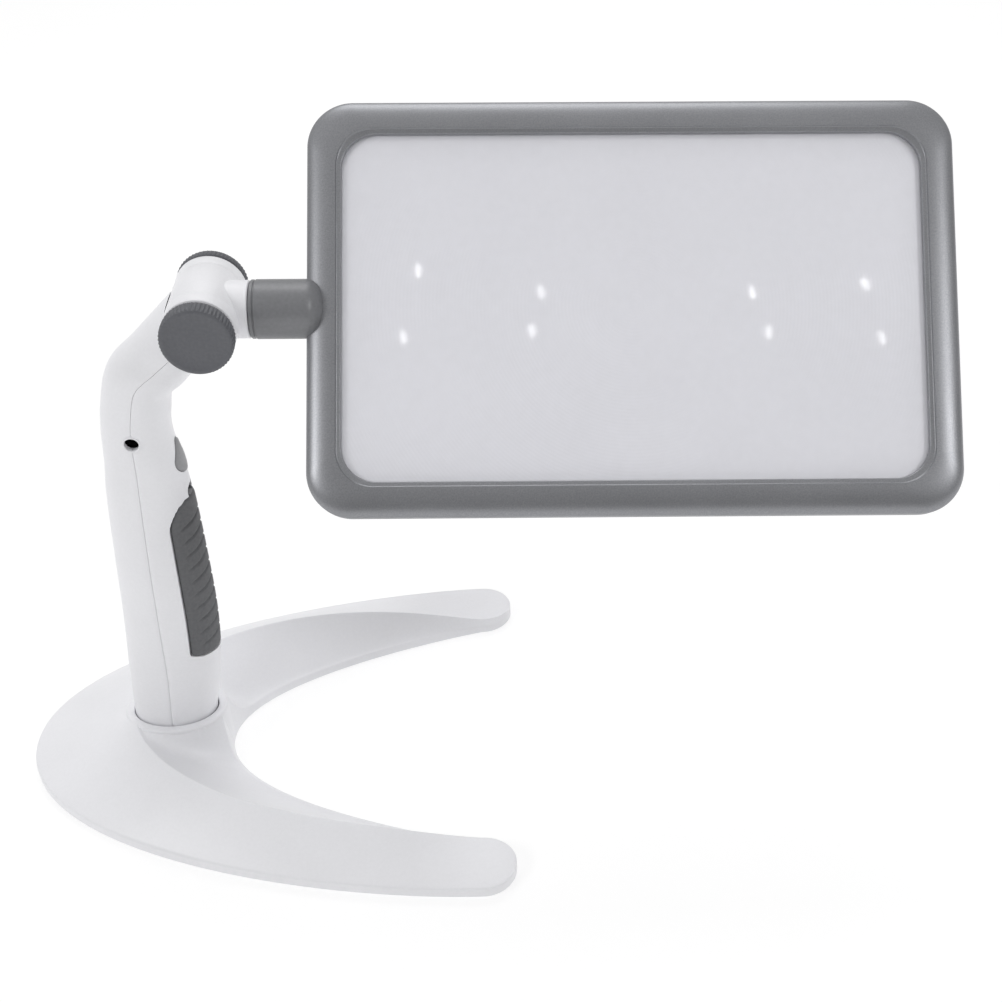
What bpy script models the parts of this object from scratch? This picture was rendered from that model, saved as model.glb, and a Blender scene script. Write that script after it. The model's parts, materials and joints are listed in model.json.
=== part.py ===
"""Full-page lighted reading magnifier.

A crescent base carries a lift-out handle. The handle's neck ends in a clamped hinge, whose
arm holds a rectangular lens frame on a swivel. Metres, +Z up. The table is Z = 0, the lens
frame reaches towards +X, and the origin is below the middle of the whole object.
"""

import math

import bmesh
import bpy
import numpy as np
from mathutils import Matrix, Vector

# ---------------------------------------------------------------- driving dimensions
fit_gap = 0.0003          # clearance between pieces that touch or pass through each other

# Crescent base. X is measured from the hinge axis, forwards positive.
base_back = 0.100
base_front = 0.0929
base_half_width = 0.0833
tip_radius = 0.0123
base_lift = 0.0010        # underside above the table
edge_height = 0.0052      # top of the outer wall
inner_edge_height = 0.0030
inner_edge_lean = 0.0022
ridge_height = 0.0218
ridge_tip_height = 0.0066
ridge_tip_inset = 0.0021
base_wall = 0.0022
base_stations = 17
tip_stations = 4
plate_thickness = 0.0015
inner_flange = 0.0050     # from the inner outline to the bottom plate
ballast_gap = 0.0028
ballast_inset = 0.0075
ballast_stations = 12
foot_radius = 0.0065
foot_height = base_lift - fit_gap

# Socket that holds the handle
socket_rim_height = 0.0216
socket_floor_top = 0.0052
socket_clearance = 0.00035
collar_wall = 0.0036
socket_tube_wall = 0.0022

# Handle: the seam runs through these stations, (x, z, depth behind, depth ahead, half-width)
handle_half_width = 0.0110
spigot_bottom = 0.0075
spigot_depth_behind = 0.0164
spigot_depth_ahead = 0.0164
spigot_x = -0.0406
seam_gap = 0.0003
shell_wall = 0.0022
front_wall = 0.0044       # the front wall carries the grip recess and the button wells
lower_screw_height = 0.1130
handle_stations = 21
arc_points = 9

# Hinge and arm. The hinge axis is along Y.
hub_height = 0.2000
barrel_radius = 0.0120
barrel_half_length = 0.0150
knuckle_half_width = 0.00965
neck_slope = math.radians(43.0)
bolt_radius = 0.0030
stub_radius = 0.0095
stub_length = 0.01485
arm_droop = math.radians(2.52)
axle_radius = 0.0030
washer_radius = 0.0080
washer_thickness = 0.0009
knob_radius = 0.0121
front_knob_thickness = 0.0057
rear_knob_thickness = 0.0034

# Swivel sleeve, with a slot for the lens frame's edge. x runs along the arm from the hinge.
sleeve_radius = 0.00975
sleeve_start = stub_length + fit_gap
dome_length = 0.0062
sleeve_bore_length = 0.0098
nut_chamber_radius = 0.0060

# Lens frame. x runs along the arm, z up the lens, y from the reader's side to the page side.
frame_half_length = 0.1065
frame_half_height = 0.0688
frame_thickness = 0.0090
frame_corner = 0.0150
frame_border = 0.0115
frame_start = 0.0331      # inner end of the frame from the hinge axis, along the arm
face_thickness = 0.0026
rim_wall = 0.0022
back_rim_thickness = 0.0035
corner_boss_inset = 0.0090
corner_boss_radius = 0.0026
block_length = 0.0060
block_half_height = 0.0078
lens_thickness = 0.0020
lens_overlap = 0.0024
lens_tilt = math.radians(42.4)

# Controls on the handle
button_bottom = 0.1368
button_top = 0.1502
button_half_width = 0.0048
button_travel = 0.0008
switch_bottom = 0.1229
switch_top = 0.1315
switch_half_width = 0.0036
switch_travel = 0.0030
switch_corner = 0.0027
grip_bottom = 0.0545
grip_shoulder = 0.1160
grip_top = 0.1268
grip_half_width = 0.0093
grip_top_half_width = 0.0052
grip_thickness = 0.0018
control_seat = 0.0036     # depth behind the front line of the ledge that stops a control's lip
control_lip = 0.0009
control_lip_thickness = 0.0010
jack_height = 0.1553
jack_bore = 0.0022

# Power pack
cell_radius = 0.00525
cell_length = 0.0445
cell_bottom = 0.0158
cell_foot_x = -0.0400
cell_lean = math.radians(3.7)

# ---------------------------------------------------------------- worked-out places
frame_centre = frame_start + frame_half_length
aperture_half_length = frame_half_length - frame_border
aperture_half_height = frame_half_height - frame_border
tip_centre_x = base_front - tip_radius
droop_side = math.sin(arm_droop)
frame_reach = (
    math.cos(arm_droop) * (frame_centre + frame_half_length - frame_corner)
    + math.cos(lens_tilt) * droop_side * (frame_half_height - frame_corner)
    + frame_corner * math.hypot(math.cos(arm_droop), math.cos(lens_tilt) * droop_side)
    + math.sin(lens_tilt) * droop_side * frame_thickness / 2
)
hinge_x = (base_back - frame_reach) / 2
neck_direction = np.array([math.cos(neck_slope), 0.0, math.sin(neck_slope)])
collar_front_x = spigot_x + spigot_depth_ahead + socket_clearance + collar_wall
plate_top = base_lift + plate_thickness

# ---------------------------------------------------------------- scene and materials
for old in list(bpy.data.objects):
    bpy.data.objects.remove(old, do_unlink=True)

parts = bpy.data.collections.new("reading_magnifier")
cutters = bpy.data.collections.new("cutters")
bpy.context.scene.collection.children.link(parts)
bpy.context.scene.collection.children.link(cutters)
cutters.hide_render = True


def finish(name, colour, roughness, metallic=0.0, alpha=1.0):
    """A Principled material."""
    material = bpy.data.materials.new(name)
    material.use_nodes = True
    shader = material.node_tree.nodes["Principled BSDF"]
    shader.inputs["Base Color"].default_value = (*colour, 1.0)
    shader.inputs["Roughness"].default_value = roughness
    shader.inputs["Metallic"].default_value = metallic
    shader.inputs["Alpha"].default_value = alpha
    material.diffuse_color = (*colour, alpha)
    return material


white_plastic = finish("white_plastic", (0.80, 0.80, 0.81), 0.42)
grey_plastic = finish("grey_plastic", (0.22, 0.22, 0.24), 0.38)
knob_plastic = finish("knob_plastic", (0.12, 0.12, 0.13), 0.55)
grip_rubber = finish("grip_rubber", (0.11, 0.11, 0.12), 0.65)
control_plastic = finish("control_plastic", (0.30, 0.30, 0.31), 0.45)
silver_paint = finish("silver_paint", (0.45, 0.45, 0.47), 0.32, 0.7)
lens_plastic = finish("lens_plastic", (0.90, 0.92, 0.95), 0.05, 0.0, 0.35)
steel = finish("steel", (0.60, 0.60, 0.62), 0.30, 1.0)
iron = finish("iron", (0.18, 0.18, 0.19), 0.60, 0.8)
foot_rubber = finish("foot_rubber", (0.04, 0.04, 0.04), 0.80)
circuit_green = finish("circuit_green", (0.03, 0.20, 0.08), 0.50)
led_white = finish("led_white", (0.92, 0.90, 0.72), 0.20)
black_plastic = finish("black_plastic", (0.03, 0.03, 0.03), 0.40)
cell_wrap = finish("cell_wrap", (0.10, 0.22, 0.45), 0.35)


# ---------------------------------------------------------------- empties on the joint axes
def axis_empty(name, location, rotation=(0.0, 0.0, 0.0), parent=None):
    empty = bpy.data.objects.new(name, None)
    empty.empty_display_size = 0.02
    empty.location = location
    empty.rotation_euler = rotation
    empty.parent = parent
    parts.objects.link(empty)
    return empty


stand = axis_empty("stand_axis", (hinge_x, 0.0, 0.0))
hinge = axis_empty("hinge_axis", (0.0, 0.0, hub_height), (0.0, arm_droop, 0.0), stand)
swivel = axis_empty("swivel_axis", (0.0, 0.0, 0.0), (-lens_tilt, 0.0, 0.0), hinge)
knob_axis = axis_empty("knob_axis", (0.0, 0.0, hub_height), parent=stand)


# ---------------------------------------------------------------- mesh tools
def add_object(name, data, material=None, parent=None, smooth=True):
    """Link a piece, or with no material a cutter, to its collection."""
    obj = bpy.data.objects.new(name, data)
    if material is None:
        obj.hide_render = True
        obj.display_type = "WIRE"
        cutters.objects.link(obj)
    else:
        obj.data.materials.append(material)
        parts.objects.link(obj)
        if smooth:
            obj.data.shade_smooth()
            obj.data.set_sharp_from_angle(angle=math.radians(35.0))
    obj.parent = parent
    return obj


def mesh_of(name, shape):
    bmesh.ops.recalc_face_normals(shape, faces=shape.faces)
    data = bpy.data.meshes.new(name)
    shape.to_mesh(data)
    shape.free()
    return data


def box(name, low, high, material=None, parent=None):
    low = Vector(low)
    high = Vector(high)
    shape = bmesh.new()
    bmesh.ops.create_cube(shape, size=1.0)
    bmesh.ops.scale(shape, vec=high - low, verts=shape.verts)
    bmesh.ops.translate(shape, vec=(low + high) / 2, verts=shape.verts)
    return add_object(name, mesh_of(name, shape), material, parent, smooth=False)


def rod(name, radius, start, end, material=None, parent=None, segments=24, end_radius=None):
    """A cylinder or a cone from start to end."""
    start = Vector(start)
    end = Vector(end)
    along = end - start
    turn = along.to_track_quat("Z", "Y").to_matrix().to_4x4()
    place = Matrix.Translation((start + end) / 2) @ turn
    shape = bmesh.new()
    far_radius = radius if end_radius is None else end_radius
    bmesh.ops.create_cone(shape, cap_ends=True, segments=segments, radius1=radius,
                          radius2=far_radius, depth=along.length, matrix=place)
    return add_object(name, mesh_of(name, shape), material, parent)


def turned(name, profile, place, material=None, parent=None, segments=32):
    """A (radius, height) profile, outer side from the top down, turned about the place's Z."""
    data = bpy.data.meshes.new(name)
    is_ring = profile[0] == profile[-1]
    points = [(radius, 0.0, height) for radius, height in profile[:-1 if is_ring else None]]
    edges = [(i, i + 1) for i in range(len(points) - 1)]
    if is_ring:
        edges.append((len(points) - 1, 0))
    data.from_pydata(points, edges, [])
    obj = add_object(name, data, material, parent, smooth=False)
    obj.matrix_local = place
    screw = obj.modifiers.new("turn", "SCREW")
    screw.axis = "Z"
    screw.steps = segments
    screw.render_steps = segments
    screw.use_merge_vertices = True
    screw.merge_threshold = 0.00001
    screw.use_smooth_shade = True
    return obj


def along_y(x=0.0, y=0.0, z=0.0):
    """Places a turned piece so that its Z runs along +Y."""
    return Matrix.Translation((x, y, z)) @ Matrix.Rotation(math.radians(-90.0), 4, "X")


def along_x(x=0.0):
    """Places a turned piece so that its Z runs along +X."""
    return Matrix.Translation((x, 0.0, 0.0)) @ Matrix.Rotation(math.radians(90.0), 4, "Y")


def loft(name, rings, material=None, parent=None):
    """A closed skin over rings of points, with a flat cap on each end ring."""
    shape = bmesh.new()
    rows = [[shape.verts.new(point) for point in ring] for ring in rings]
    count = len(rows[0])
    for row, after in zip(rows, rows[1:]):
        for i in range(count):
            j = (i + 1) % count
            shape.faces.new((row[i], row[j], after[j], after[i]))
    caps = [shape.faces.new(rows[0]), shape.faces.new(rows[-1])]
    for cap in caps:
        cap.normal_update()
    bmesh.ops.triangulate(shape, faces=caps)
    return add_object(name, mesh_of(name, shape), material, parent)


def mesh_from_curve(name, curve):
    """The curve as one closed mesh. The curve's own object is removed."""
    drawn = bpy.data.objects.new(name + "_curve", curve)
    parts.objects.link(drawn)
    graph = bpy.context.evaluated_depsgraph_get()
    data = bpy.data.meshes.new_from_object(drawn.evaluated_get(graph))
    bpy.data.objects.remove(drawn, do_unlink=True)
    shape = bmesh.new()
    shape.from_mesh(data)
    bpy.data.meshes.remove(data)
    bmesh.ops.remove_doubles(shape, verts=shape.verts, dist=0.000001)
    return mesh_of(name, shape)


def flat(name, outlines, low_y, high_y, material=None, parent=None):
    """A flat piece in the x-z plane, from one outer outline and any holes, as a filled curve."""
    curve = bpy.data.curves.new(name, "CURVE")
    curve.dimensions = "2D"
    curve.fill_mode = "BOTH"
    curve.extrude = (high_y - low_y) / 2
    for outline in outlines:
        spline = curve.splines.new("POLY")
        spline.points.add(len(outline) - 1)
        for point, (x, z) in zip(spline.points, outline):
            point.co = (x, z, 0.0, 1.0)
        spline.use_cyclic_u = True
    data = mesh_from_curve(name, curve)
    stand_up = Matrix.Rotation(math.radians(90.0), 4, "X")
    data.transform(Matrix.Translation((0.0, (low_y + high_y) / 2, 0.0)) @ stand_up)
    return add_object(name, data, material, parent)


def boolean(obj, other, operation="DIFFERENCE"):
    modifier = obj.modifiers.new(other.name, "BOOLEAN")
    modifier.operation = operation
    modifier.solver = "EXACT"
    modifier.object = other


def catmull_rom(rows, samples):
    """Rows of numbers as a smooth curve through all of them, read at evenly spaced samples."""
    rows = np.array(rows, float)
    first = 2 * rows[0] - rows[1]
    last = 2 * rows[-1] - rows[-2]
    held = np.vstack([first, rows, last])
    places = np.linspace(0.0, len(rows) - 1, samples)
    start = np.minimum(places.astype(int), len(rows) - 2)
    t = (places - start)[:, None]
    a, b, c, d = (held[start + k] for k in range(4))
    return 0.5 * (2 * b + (c - a) * t + (2 * a - 5 * b + 4 * c - d) * t**2
                  + (3 * b - a - 3 * c + d) * t**3)


def rounded_rectangle(half_x, half_z, corner, centre_x=0.0, steps=5):
    """Points around a rectangle with round corners."""
    points = []
    for quarter in range(4):
        side_x = 1 if quarter in (0, 3) else -1
        side_z = 1 if quarter in (0, 1) else -1
        for step in range(steps + 1):
            angle = math.radians(90.0) * (quarter + step / steps)
            x = centre_x + side_x * (half_x - corner) + corner * math.cos(angle)
            z = side_z * (half_z - corner) + corner * math.sin(angle)
            points.append((x, z))
    return points


# ---------------------------------------------------------------- crescent base
def crescent_row(back_x, half_width, power_x, power_y, angles):
    """Points of a superellipse quarter, read at angles about the middle of the tips."""
    swing = np.linspace(0.0, math.pi / 2, 400)
    x = tip_centre_x - (tip_centre_x - back_x) * np.cos(swing) ** (2 / power_x)
    y = half_width * np.sin(swing) ** (2 / power_y)
    seen = np.arctan2(y, tip_centre_x - x)
    return np.stack([np.interp(angles, seen, x), np.interp(angles, seen, y)], axis=1)


def crescent_half(inset, inner_inset):
    """Outer, ridge and inner rows of one arm, from the back to its tip, and the ridge's height."""
    angles = math.pi / 2 * np.linspace(0.0, 1.0, base_stations) ** 1.3
    width = base_half_width - inset
    round_tip = tip_radius - (inset + inner_inset) / 2
    inner_width = width - 2 * round_tip
    outer = crescent_row(-base_back + inset, width, 1.71, 2.07, angles)
    inner = crescent_row(collar_front_x - inner_inset, inner_width, 1.09, 2.05, angles)
    ridge_width = base_half_width - 2 * tip_radius + ridge_tip_inset
    ridge_back = spigot_x - spigot_depth_behind
    ridge = crescent_row(ridge_back, max(ridge_width, inner_width + 0.0006), 2.68, 1.77, angles)
    height = ridge_tip_height + (ridge_height - ridge_tip_height) * np.cos(angles) ** 1.2
    turns = np.radians(np.linspace(0.0, 80.0, tip_stations + 1))[1:]
    centre = np.array([tip_centre_x, width - round_tip])
    round_outer = centre + round_tip * np.stack([np.sin(turns), np.cos(turns)], axis=1)
    round_inner = centre + round_tip * np.stack([np.sin(turns), -np.cos(turns)], axis=1)
    share = (ridge[-1, 1] - inner[-1, 1]) / (outer[-1, 1] - inner[-1, 1])
    round_ridge = round_inner + (round_outer - round_inner) * share
    round_height = edge_height + (ridge_tip_height - edge_height) * np.cos(turns)
    rows = [np.vstack(pair) for pair in ((outer, round_outer), (ridge, round_ridge),
                                         (inner, round_inner))]
    return (*rows, np.concatenate([height, round_height]))


def crescent(name, insets, bottom, outer_top, ridge_drop, inner_top, lean=0.0, material=None,
             flat_top=None, stations=None):
    """The base's form, inset from its outer and inner outlines, with its ridge lowered by ridge_drop.

    With flat_top it is a level plate; with stations its arms stop short.
    """
    outer, ridge, inner, height = crescent_half(*insets)
    half = []
    for o, r, i, z in list(zip(outer, ridge, inner, height))[:stations]:
        across = (r - i) / np.linalg.norm(r - i)
        shoulder = i + across * min(lean, 0.4 * np.linalg.norm(r - i))
        tops = [outer_top, max(z - ridge_drop, outer_top + 0.0001), inner_top]
        if flat_top is not None:
            tops = [flat_top] * 3
        ring = [(*o, bottom), (*o, tops[0]), (*r, tops[1])]
        if lean:
            ring.append((*shoulder, tops[2]))
            ring.append((*i, bottom))
        else:
            ring += [(*i, tops[2]), (*i, bottom)]
        half.append(ring)
    mirrored = [[(x, -y, z) for x, y, z in ring] for ring in half[:0:-1]]
    return loft(name, mirrored + half, material, stand)


def oval(name, grow, low, high, material=None, foot_grow=None, segments=40):
    """An upright oval prism around the spigot, grow wider all round, with a wider foot if asked."""
    turns = np.linspace(0.0, 2 * math.pi, segments, endpoint=False)
    rings = []
    for z, extra in ((low, grow if foot_grow is None else foot_grow), (high, grow)):
        depth = np.where(np.cos(turns) < 0, spigot_depth_behind, spigot_depth_ahead) + extra
        x = spigot_x + depth * np.cos(turns)
        y = (handle_half_width + extra) * np.sin(turns)
        rings.append([(a, b, z) for a, b in zip(x, y)])
    return loft(name, rings, material, stand)


def arm_place(angle_degrees, share):
    """A point on the base, share of the way from its inner to its outer outline."""
    angles = np.radians([abs(angle_degrees)])
    outer = crescent_row(-base_back, base_half_width, 1.71, 2.07, angles)[0]
    inner_width = base_half_width - 2 * tip_radius
    inner = crescent_row(collar_front_x, inner_width, 1.09, 2.05, angles)[0]
    x, y = inner + (outer - inner) * share
    return x, math.copysign(y, angle_degrees) if angle_degrees else 0.0


base_screw_places = [arm_place(0.0, 0.78), arm_place(50.0, 0.58), arm_place(-50.0, 0.58)]
foot_places = [arm_place(16.0, 0.72), arm_place(-16.0, 0.72)]
foot_places += [(tip_centre_x, side * (base_half_width - tip_radius)) for side in (1, -1)]
screw_radius = 0.0015
screw_head_radius = 0.0027
boss_radius = 0.0032
boss_top = 0.0095


def build_base():
    shell = crescent("base_shell", (0.0, 0.0), base_lift, edge_height, 0.0, inner_edge_height,
                     inner_edge_lean, white_plastic)
    boolean(shell, oval("collar", collar_wall, inner_edge_height, socket_rim_height,
                        foot_grow=collar_wall + 0.0006), "UNION")
    boolean(shell, crescent("base_hollow", (base_wall, inner_flange), -0.005,
                            edge_height - base_wall, base_wall, plate_top + 0.0004))
    boolean(shell, oval("socket_tube", socket_clearance + socket_tube_wall, plate_top + fit_gap,
                        socket_rim_height - 0.001), "UNION")
    for i, (x, y) in enumerate(base_screw_places):
        boss = rod(f"base_boss_{i}", boss_radius, (x, y, plate_top + fit_gap), (x, y, boss_top),
                   parent=stand, segments=16)
        boolean(shell, boss, "UNION")
    boolean(shell, oval("socket_hole", socket_clearance, socket_floor_top, 0.05))
    plate = crescent("base_plate", (base_wall + fit_gap, inner_flange + fit_gap), base_lift, 0.0,
                     0.0, 0.0, 0.0, white_plastic, plate_top)
    low = plate_top + fit_gap
    ballast = crescent("base_weight", (ballast_inset, ballast_inset), low, low + 0.0010,
                       base_wall + ballast_gap, low + 0.0008, 0.0, iron, stations=ballast_stations)
    boolean(ballast, oval("socket_room", socket_clearance + socket_tube_wall + fit_gap, 0.0, 0.05))
    for i, (x, y) in enumerate(base_screw_places):
        room = rod(f"boss_room_{i}", boss_radius + fit_gap, (x, y, 0.0), (x, y, boss_top + fit_gap),
                   parent=stand, segments=16)
        boolean(ballast, room)
        thread = screw_radius + fit_gap
        hole = rod(f"base_thread_{i}", thread, (x, y, -0.001), (x, y, boss_top - 0.0012),
                   parent=stand, segments=16)
        boolean(shell, hole)
        head = screw_head_radius
        seat = turned(f"screw_seat_{i}", [
            (0.0, 0.006), (thread, 0.006), (thread, plate_top - 0.0001), (head + fit_gap, base_lift),
            (head + fit_gap, 0.0), (0.0, 0.0)], Matrix.Translation((x, y, 0.0)), None, stand, 16)
        boolean(plate, seat)
        turned(f"base_screw_{i + 1}", [
            (0.0, boss_top - 0.0018), (screw_radius, boss_top - 0.0018), (screw_radius, plate_top),
            (head, base_lift + 0.0002), (0.0, base_lift + 0.0002)],
            Matrix.Translation((x, y, 0.0)), steel, stand, 16)
    for i, (x, y) in enumerate(foot_places):
        rod(f"base_foot_{i + 1}", foot_radius, (x, y, 0.0), (x, y, foot_height), foot_rubber, stand)


# ---------------------------------------------------------------- handle
def neck_point(distance):
    """(x, z) of the neck's centre line, this far before the hinge axis."""
    return -distance * neck_direction[0], hub_height - distance * neck_direction[2]


handle_rows = [
    (spigot_x, spigot_bottom, spigot_depth_behind, spigot_depth_ahead, handle_half_width),
    (spigot_x, socket_rim_height, spigot_depth_behind, spigot_depth_ahead, handle_half_width),
    (-0.0382, 0.0450, 0.0167, 0.0188, handle_half_width),
    (-0.0368, 0.0700, 0.0153, 0.0202, handle_half_width),
    (-0.0350, 0.1000, 0.0145, 0.0190, handle_half_width),
    (-0.0329, 0.1280, 0.0140, 0.0166, handle_half_width),
    (-0.0318, 0.1420, 0.0130, 0.0142, handle_half_width),
    (-0.0310, 0.1550, 0.0123, 0.0121, handle_half_width),
    (-0.0294, 0.1650, 0.0119, 0.0118, handle_half_width),
    (*neck_point(barrel_radius + 0.0235), barrel_radius - 0.0004, barrel_radius - 0.0004,
     handle_half_width + 0.0002),
    (*neck_point(barrel_radius + 0.0135), barrel_radius - 0.0005, barrel_radius - 0.0005,
     handle_half_width + 0.0010),
    (*neck_point(barrel_radius + 0.0025), barrel_radius - 0.0004, barrel_radius - 0.0014,
     barrel_half_length - 0.0012),
    (*neck_point(0.0020), barrel_radius - 0.0002, barrel_radius - 0.0024, barrel_half_length - 0.0002),
]
handle_curve = catmull_rom(handle_rows, handle_stations * 4)


def handle_at(height):
    """x, depth behind, depth ahead and half-width of the upright part at this height."""
    return [np.interp(height, handle_curve[:80, 1], handle_curve[:80, k]) for k in (0, 2, 3, 4)]


def half_shell(name, side, material):
    """One half of the handle, a C-shaped section carried along the seam; side is +1 ahead."""
    stations = catmull_rom(handle_rows, handle_stations)
    ahead_wall = front_wall if side > 0 else shell_wall
    swing = np.linspace(-math.pi / 2, math.pi / 2, arc_points)
    path = stations[:, :2]
    heading = np.gradient(path, axis=0)
    heading /= np.linalg.norm(heading, axis=1)[:, None]
    heading[:2] = (0.0, 1.0)
    rings = []
    for (x, z, behind, ahead, width), (tx, tz) in zip(stations, heading):
        depth = ahead if side > 0 else behind
        outer = (depth - seam_gap / 2, width, swing)
        inner = (depth - ahead_wall - seam_gap / 2, width - shell_wall, swing[::-1])
        ring = []
        for reach, half, angles in (outer, inner):
            forward = side * (seam_gap / 2 + reach * np.cos(angles))
            across = half * np.sin(angles)
            ring += [(x + tz * f, y, z - tx * f) for f, y in zip(forward, across)]
        rings.append(ring)
    return loft(name, rings, material, stand)


def half_lug(name, side, sign):
    """Half of a hinge ear: a half disc on one side of the seam, between the knuckle and a knob."""
    turns = np.linspace(0.0, math.pi, 15)
    along = neck_direction
    ahead = np.array([neck_direction[2], 0.0, -neck_direction[0]]) * side
    rings = []
    for y in (knuckle_half_width + fit_gap, barrel_half_length):
        ring = []
        for turn in turns:
            place = along * barrel_radius * math.cos(turn) + ahead * max(
                seam_gap / 2 + 0.00005, barrel_radius * math.sin(turn))
            ring.append((place[0], sign * y, hub_height + place[2]))
        rings.append(ring)
    return loft(name, rings, parent=stand)


def front_point(height, inward=0.0):
    """A point on the handle's front line at this height, moved inward."""
    x, _, ahead, _ = handle_at(height)
    return x + ahead - inward


def room_beside(height, x):
    """Half the room across between the front shell's walls, at this height and this far ahead."""
    seam, _, ahead, width = handle_at(height)
    share = (x - seam) / (ahead - front_wall)
    return (width - shell_wall) * math.sqrt(1.0 - share ** 2)


def front_prism(name, outline, outward, inward, material=None):
    """An outline of (y, z) points carried along X.

    It runs from inward of the front line to outward of the curved front surface.
    """
    middle = sum(z for _, z in outline) / len(outline)
    back_ring = [(front_point(middle, inward), y, z) for y, z in outline]
    front_ring = []
    for y, z in outline:
        x, _, ahead, width = handle_at(z)
        front_ring.append((x + ahead * math.sqrt(1 - (y / width) ** 2) + outward, y, z))
    return loft(name, [back_ring, front_ring], material, stand)


def front_pad(name, outline, near, far):
    """An outline of (y, z) points carried along X between two depths behind the front line."""
    middle = sum(z for _, z in outline) / len(outline)
    rings = [[(front_point(middle, depth), y, z) for y, z in outline] for depth in (far, near)]
    return loft(name, rings, parent=stand)


def teardrop(grow):
    """The light button's outline: a round foot that runs up to a narrow tip."""
    radius = button_half_width + grow
    centre = button_bottom + button_half_width * 1.02
    tip = button_top + grow * 1.4
    points = []
    for step in range(13):
        turn = math.radians(-200.0 + 220.0 * step / 12)
        points.append((radius * math.cos(turn), centre + radius * math.sin(turn)))
    points.append((0.0012 + grow / 3, tip - 0.0006))
    points.append((0.0, tip))
    points.append((-0.0012 - grow / 3, tip - 0.0006))
    return points


def capsule(half_width, low, high, corner, steps=5):
    """A rounded rectangle of (y, z) points."""
    middle = (low + high) / 2
    return [(y, middle + z) for y, z in
            rounded_rectangle(half_width, (high - low) / 2, corner, 0.0, steps)]


def grip_body(name, grow, proud, material=None):
    """The grip pad: a band of the front surface between two angles, arched at its top."""
    rows = [(grip_bottom - grow, grip_half_width), (0.070, grip_half_width),
            (0.085, grip_half_width), (0.100, grip_half_width), (grip_shoulder, grip_half_width),
            ((grip_shoulder + grip_top) / 2, (grip_half_width + grip_top_half_width) / 2 + 0.0006),
            (grip_top + grow, grip_top_half_width)]
    rings = []
    for height, half in rows:
        x, _, ahead, width = handle_at(height)
        limit = math.asin((half + grow) / width)
        swing = np.linspace(-limit, limit, 9)
        ring = []
        for raised, angles in ((proud, swing), (-grip_thickness - grow, swing[::-1])):
            ring += [(x + (ahead + raised) * math.cos(a), (width + raised) * math.sin(a), height)
                     for a in angles]
        rings.append(ring)
    return loft(name, rings, material, stand)


def seam_screw(name, height_or_point, direction, behind, ahead):
    """A screw that pulls the shells together, with its room in the back shell and its boss."""
    point = Vector(height_or_point)
    forward = Vector(direction)
    head_out = point - forward * behind
    head_in = head_out + forward * 0.0016
    tip = point + forward * (ahead - 0.0012)
    boss_start = point + forward * (seam_gap / 2)
    boss = rod(name + "_boss", boss_radius, boss_start, point + forward * ahead, parent=stand,
               segments=16)
    post_end = point - forward * (seam_gap / 2)
    post = rod(name + "_post", boss_radius, head_out + forward * 0.0008, post_end, parent=stand,
               segments=16)
    thread = rod(name + "_thread", screw_radius + fit_gap, point - forward * 0.03,
                 tip + forward * 0.0004, parent=stand, segments=16)
    well = rod(name + "_well", screw_head_radius + fit_gap, point - forward * 0.03,
               head_in + forward * fit_gap, parent=stand, segments=16)
    length = (tip - head_out).length
    turn = forward.to_track_quat("Z", "Y").to_matrix().to_4x4()
    profile = [(0.0, length), (screw_radius, length), (screw_radius, 0.0016),
               (screw_head_radius, 0.0016), (screw_head_radius, 0.0), (0.0, 0.0)]
    turned(name, profile, Matrix.Translation(head_out) @ turn, steel, stand, 16)
    return boss, post, thread, well


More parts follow.
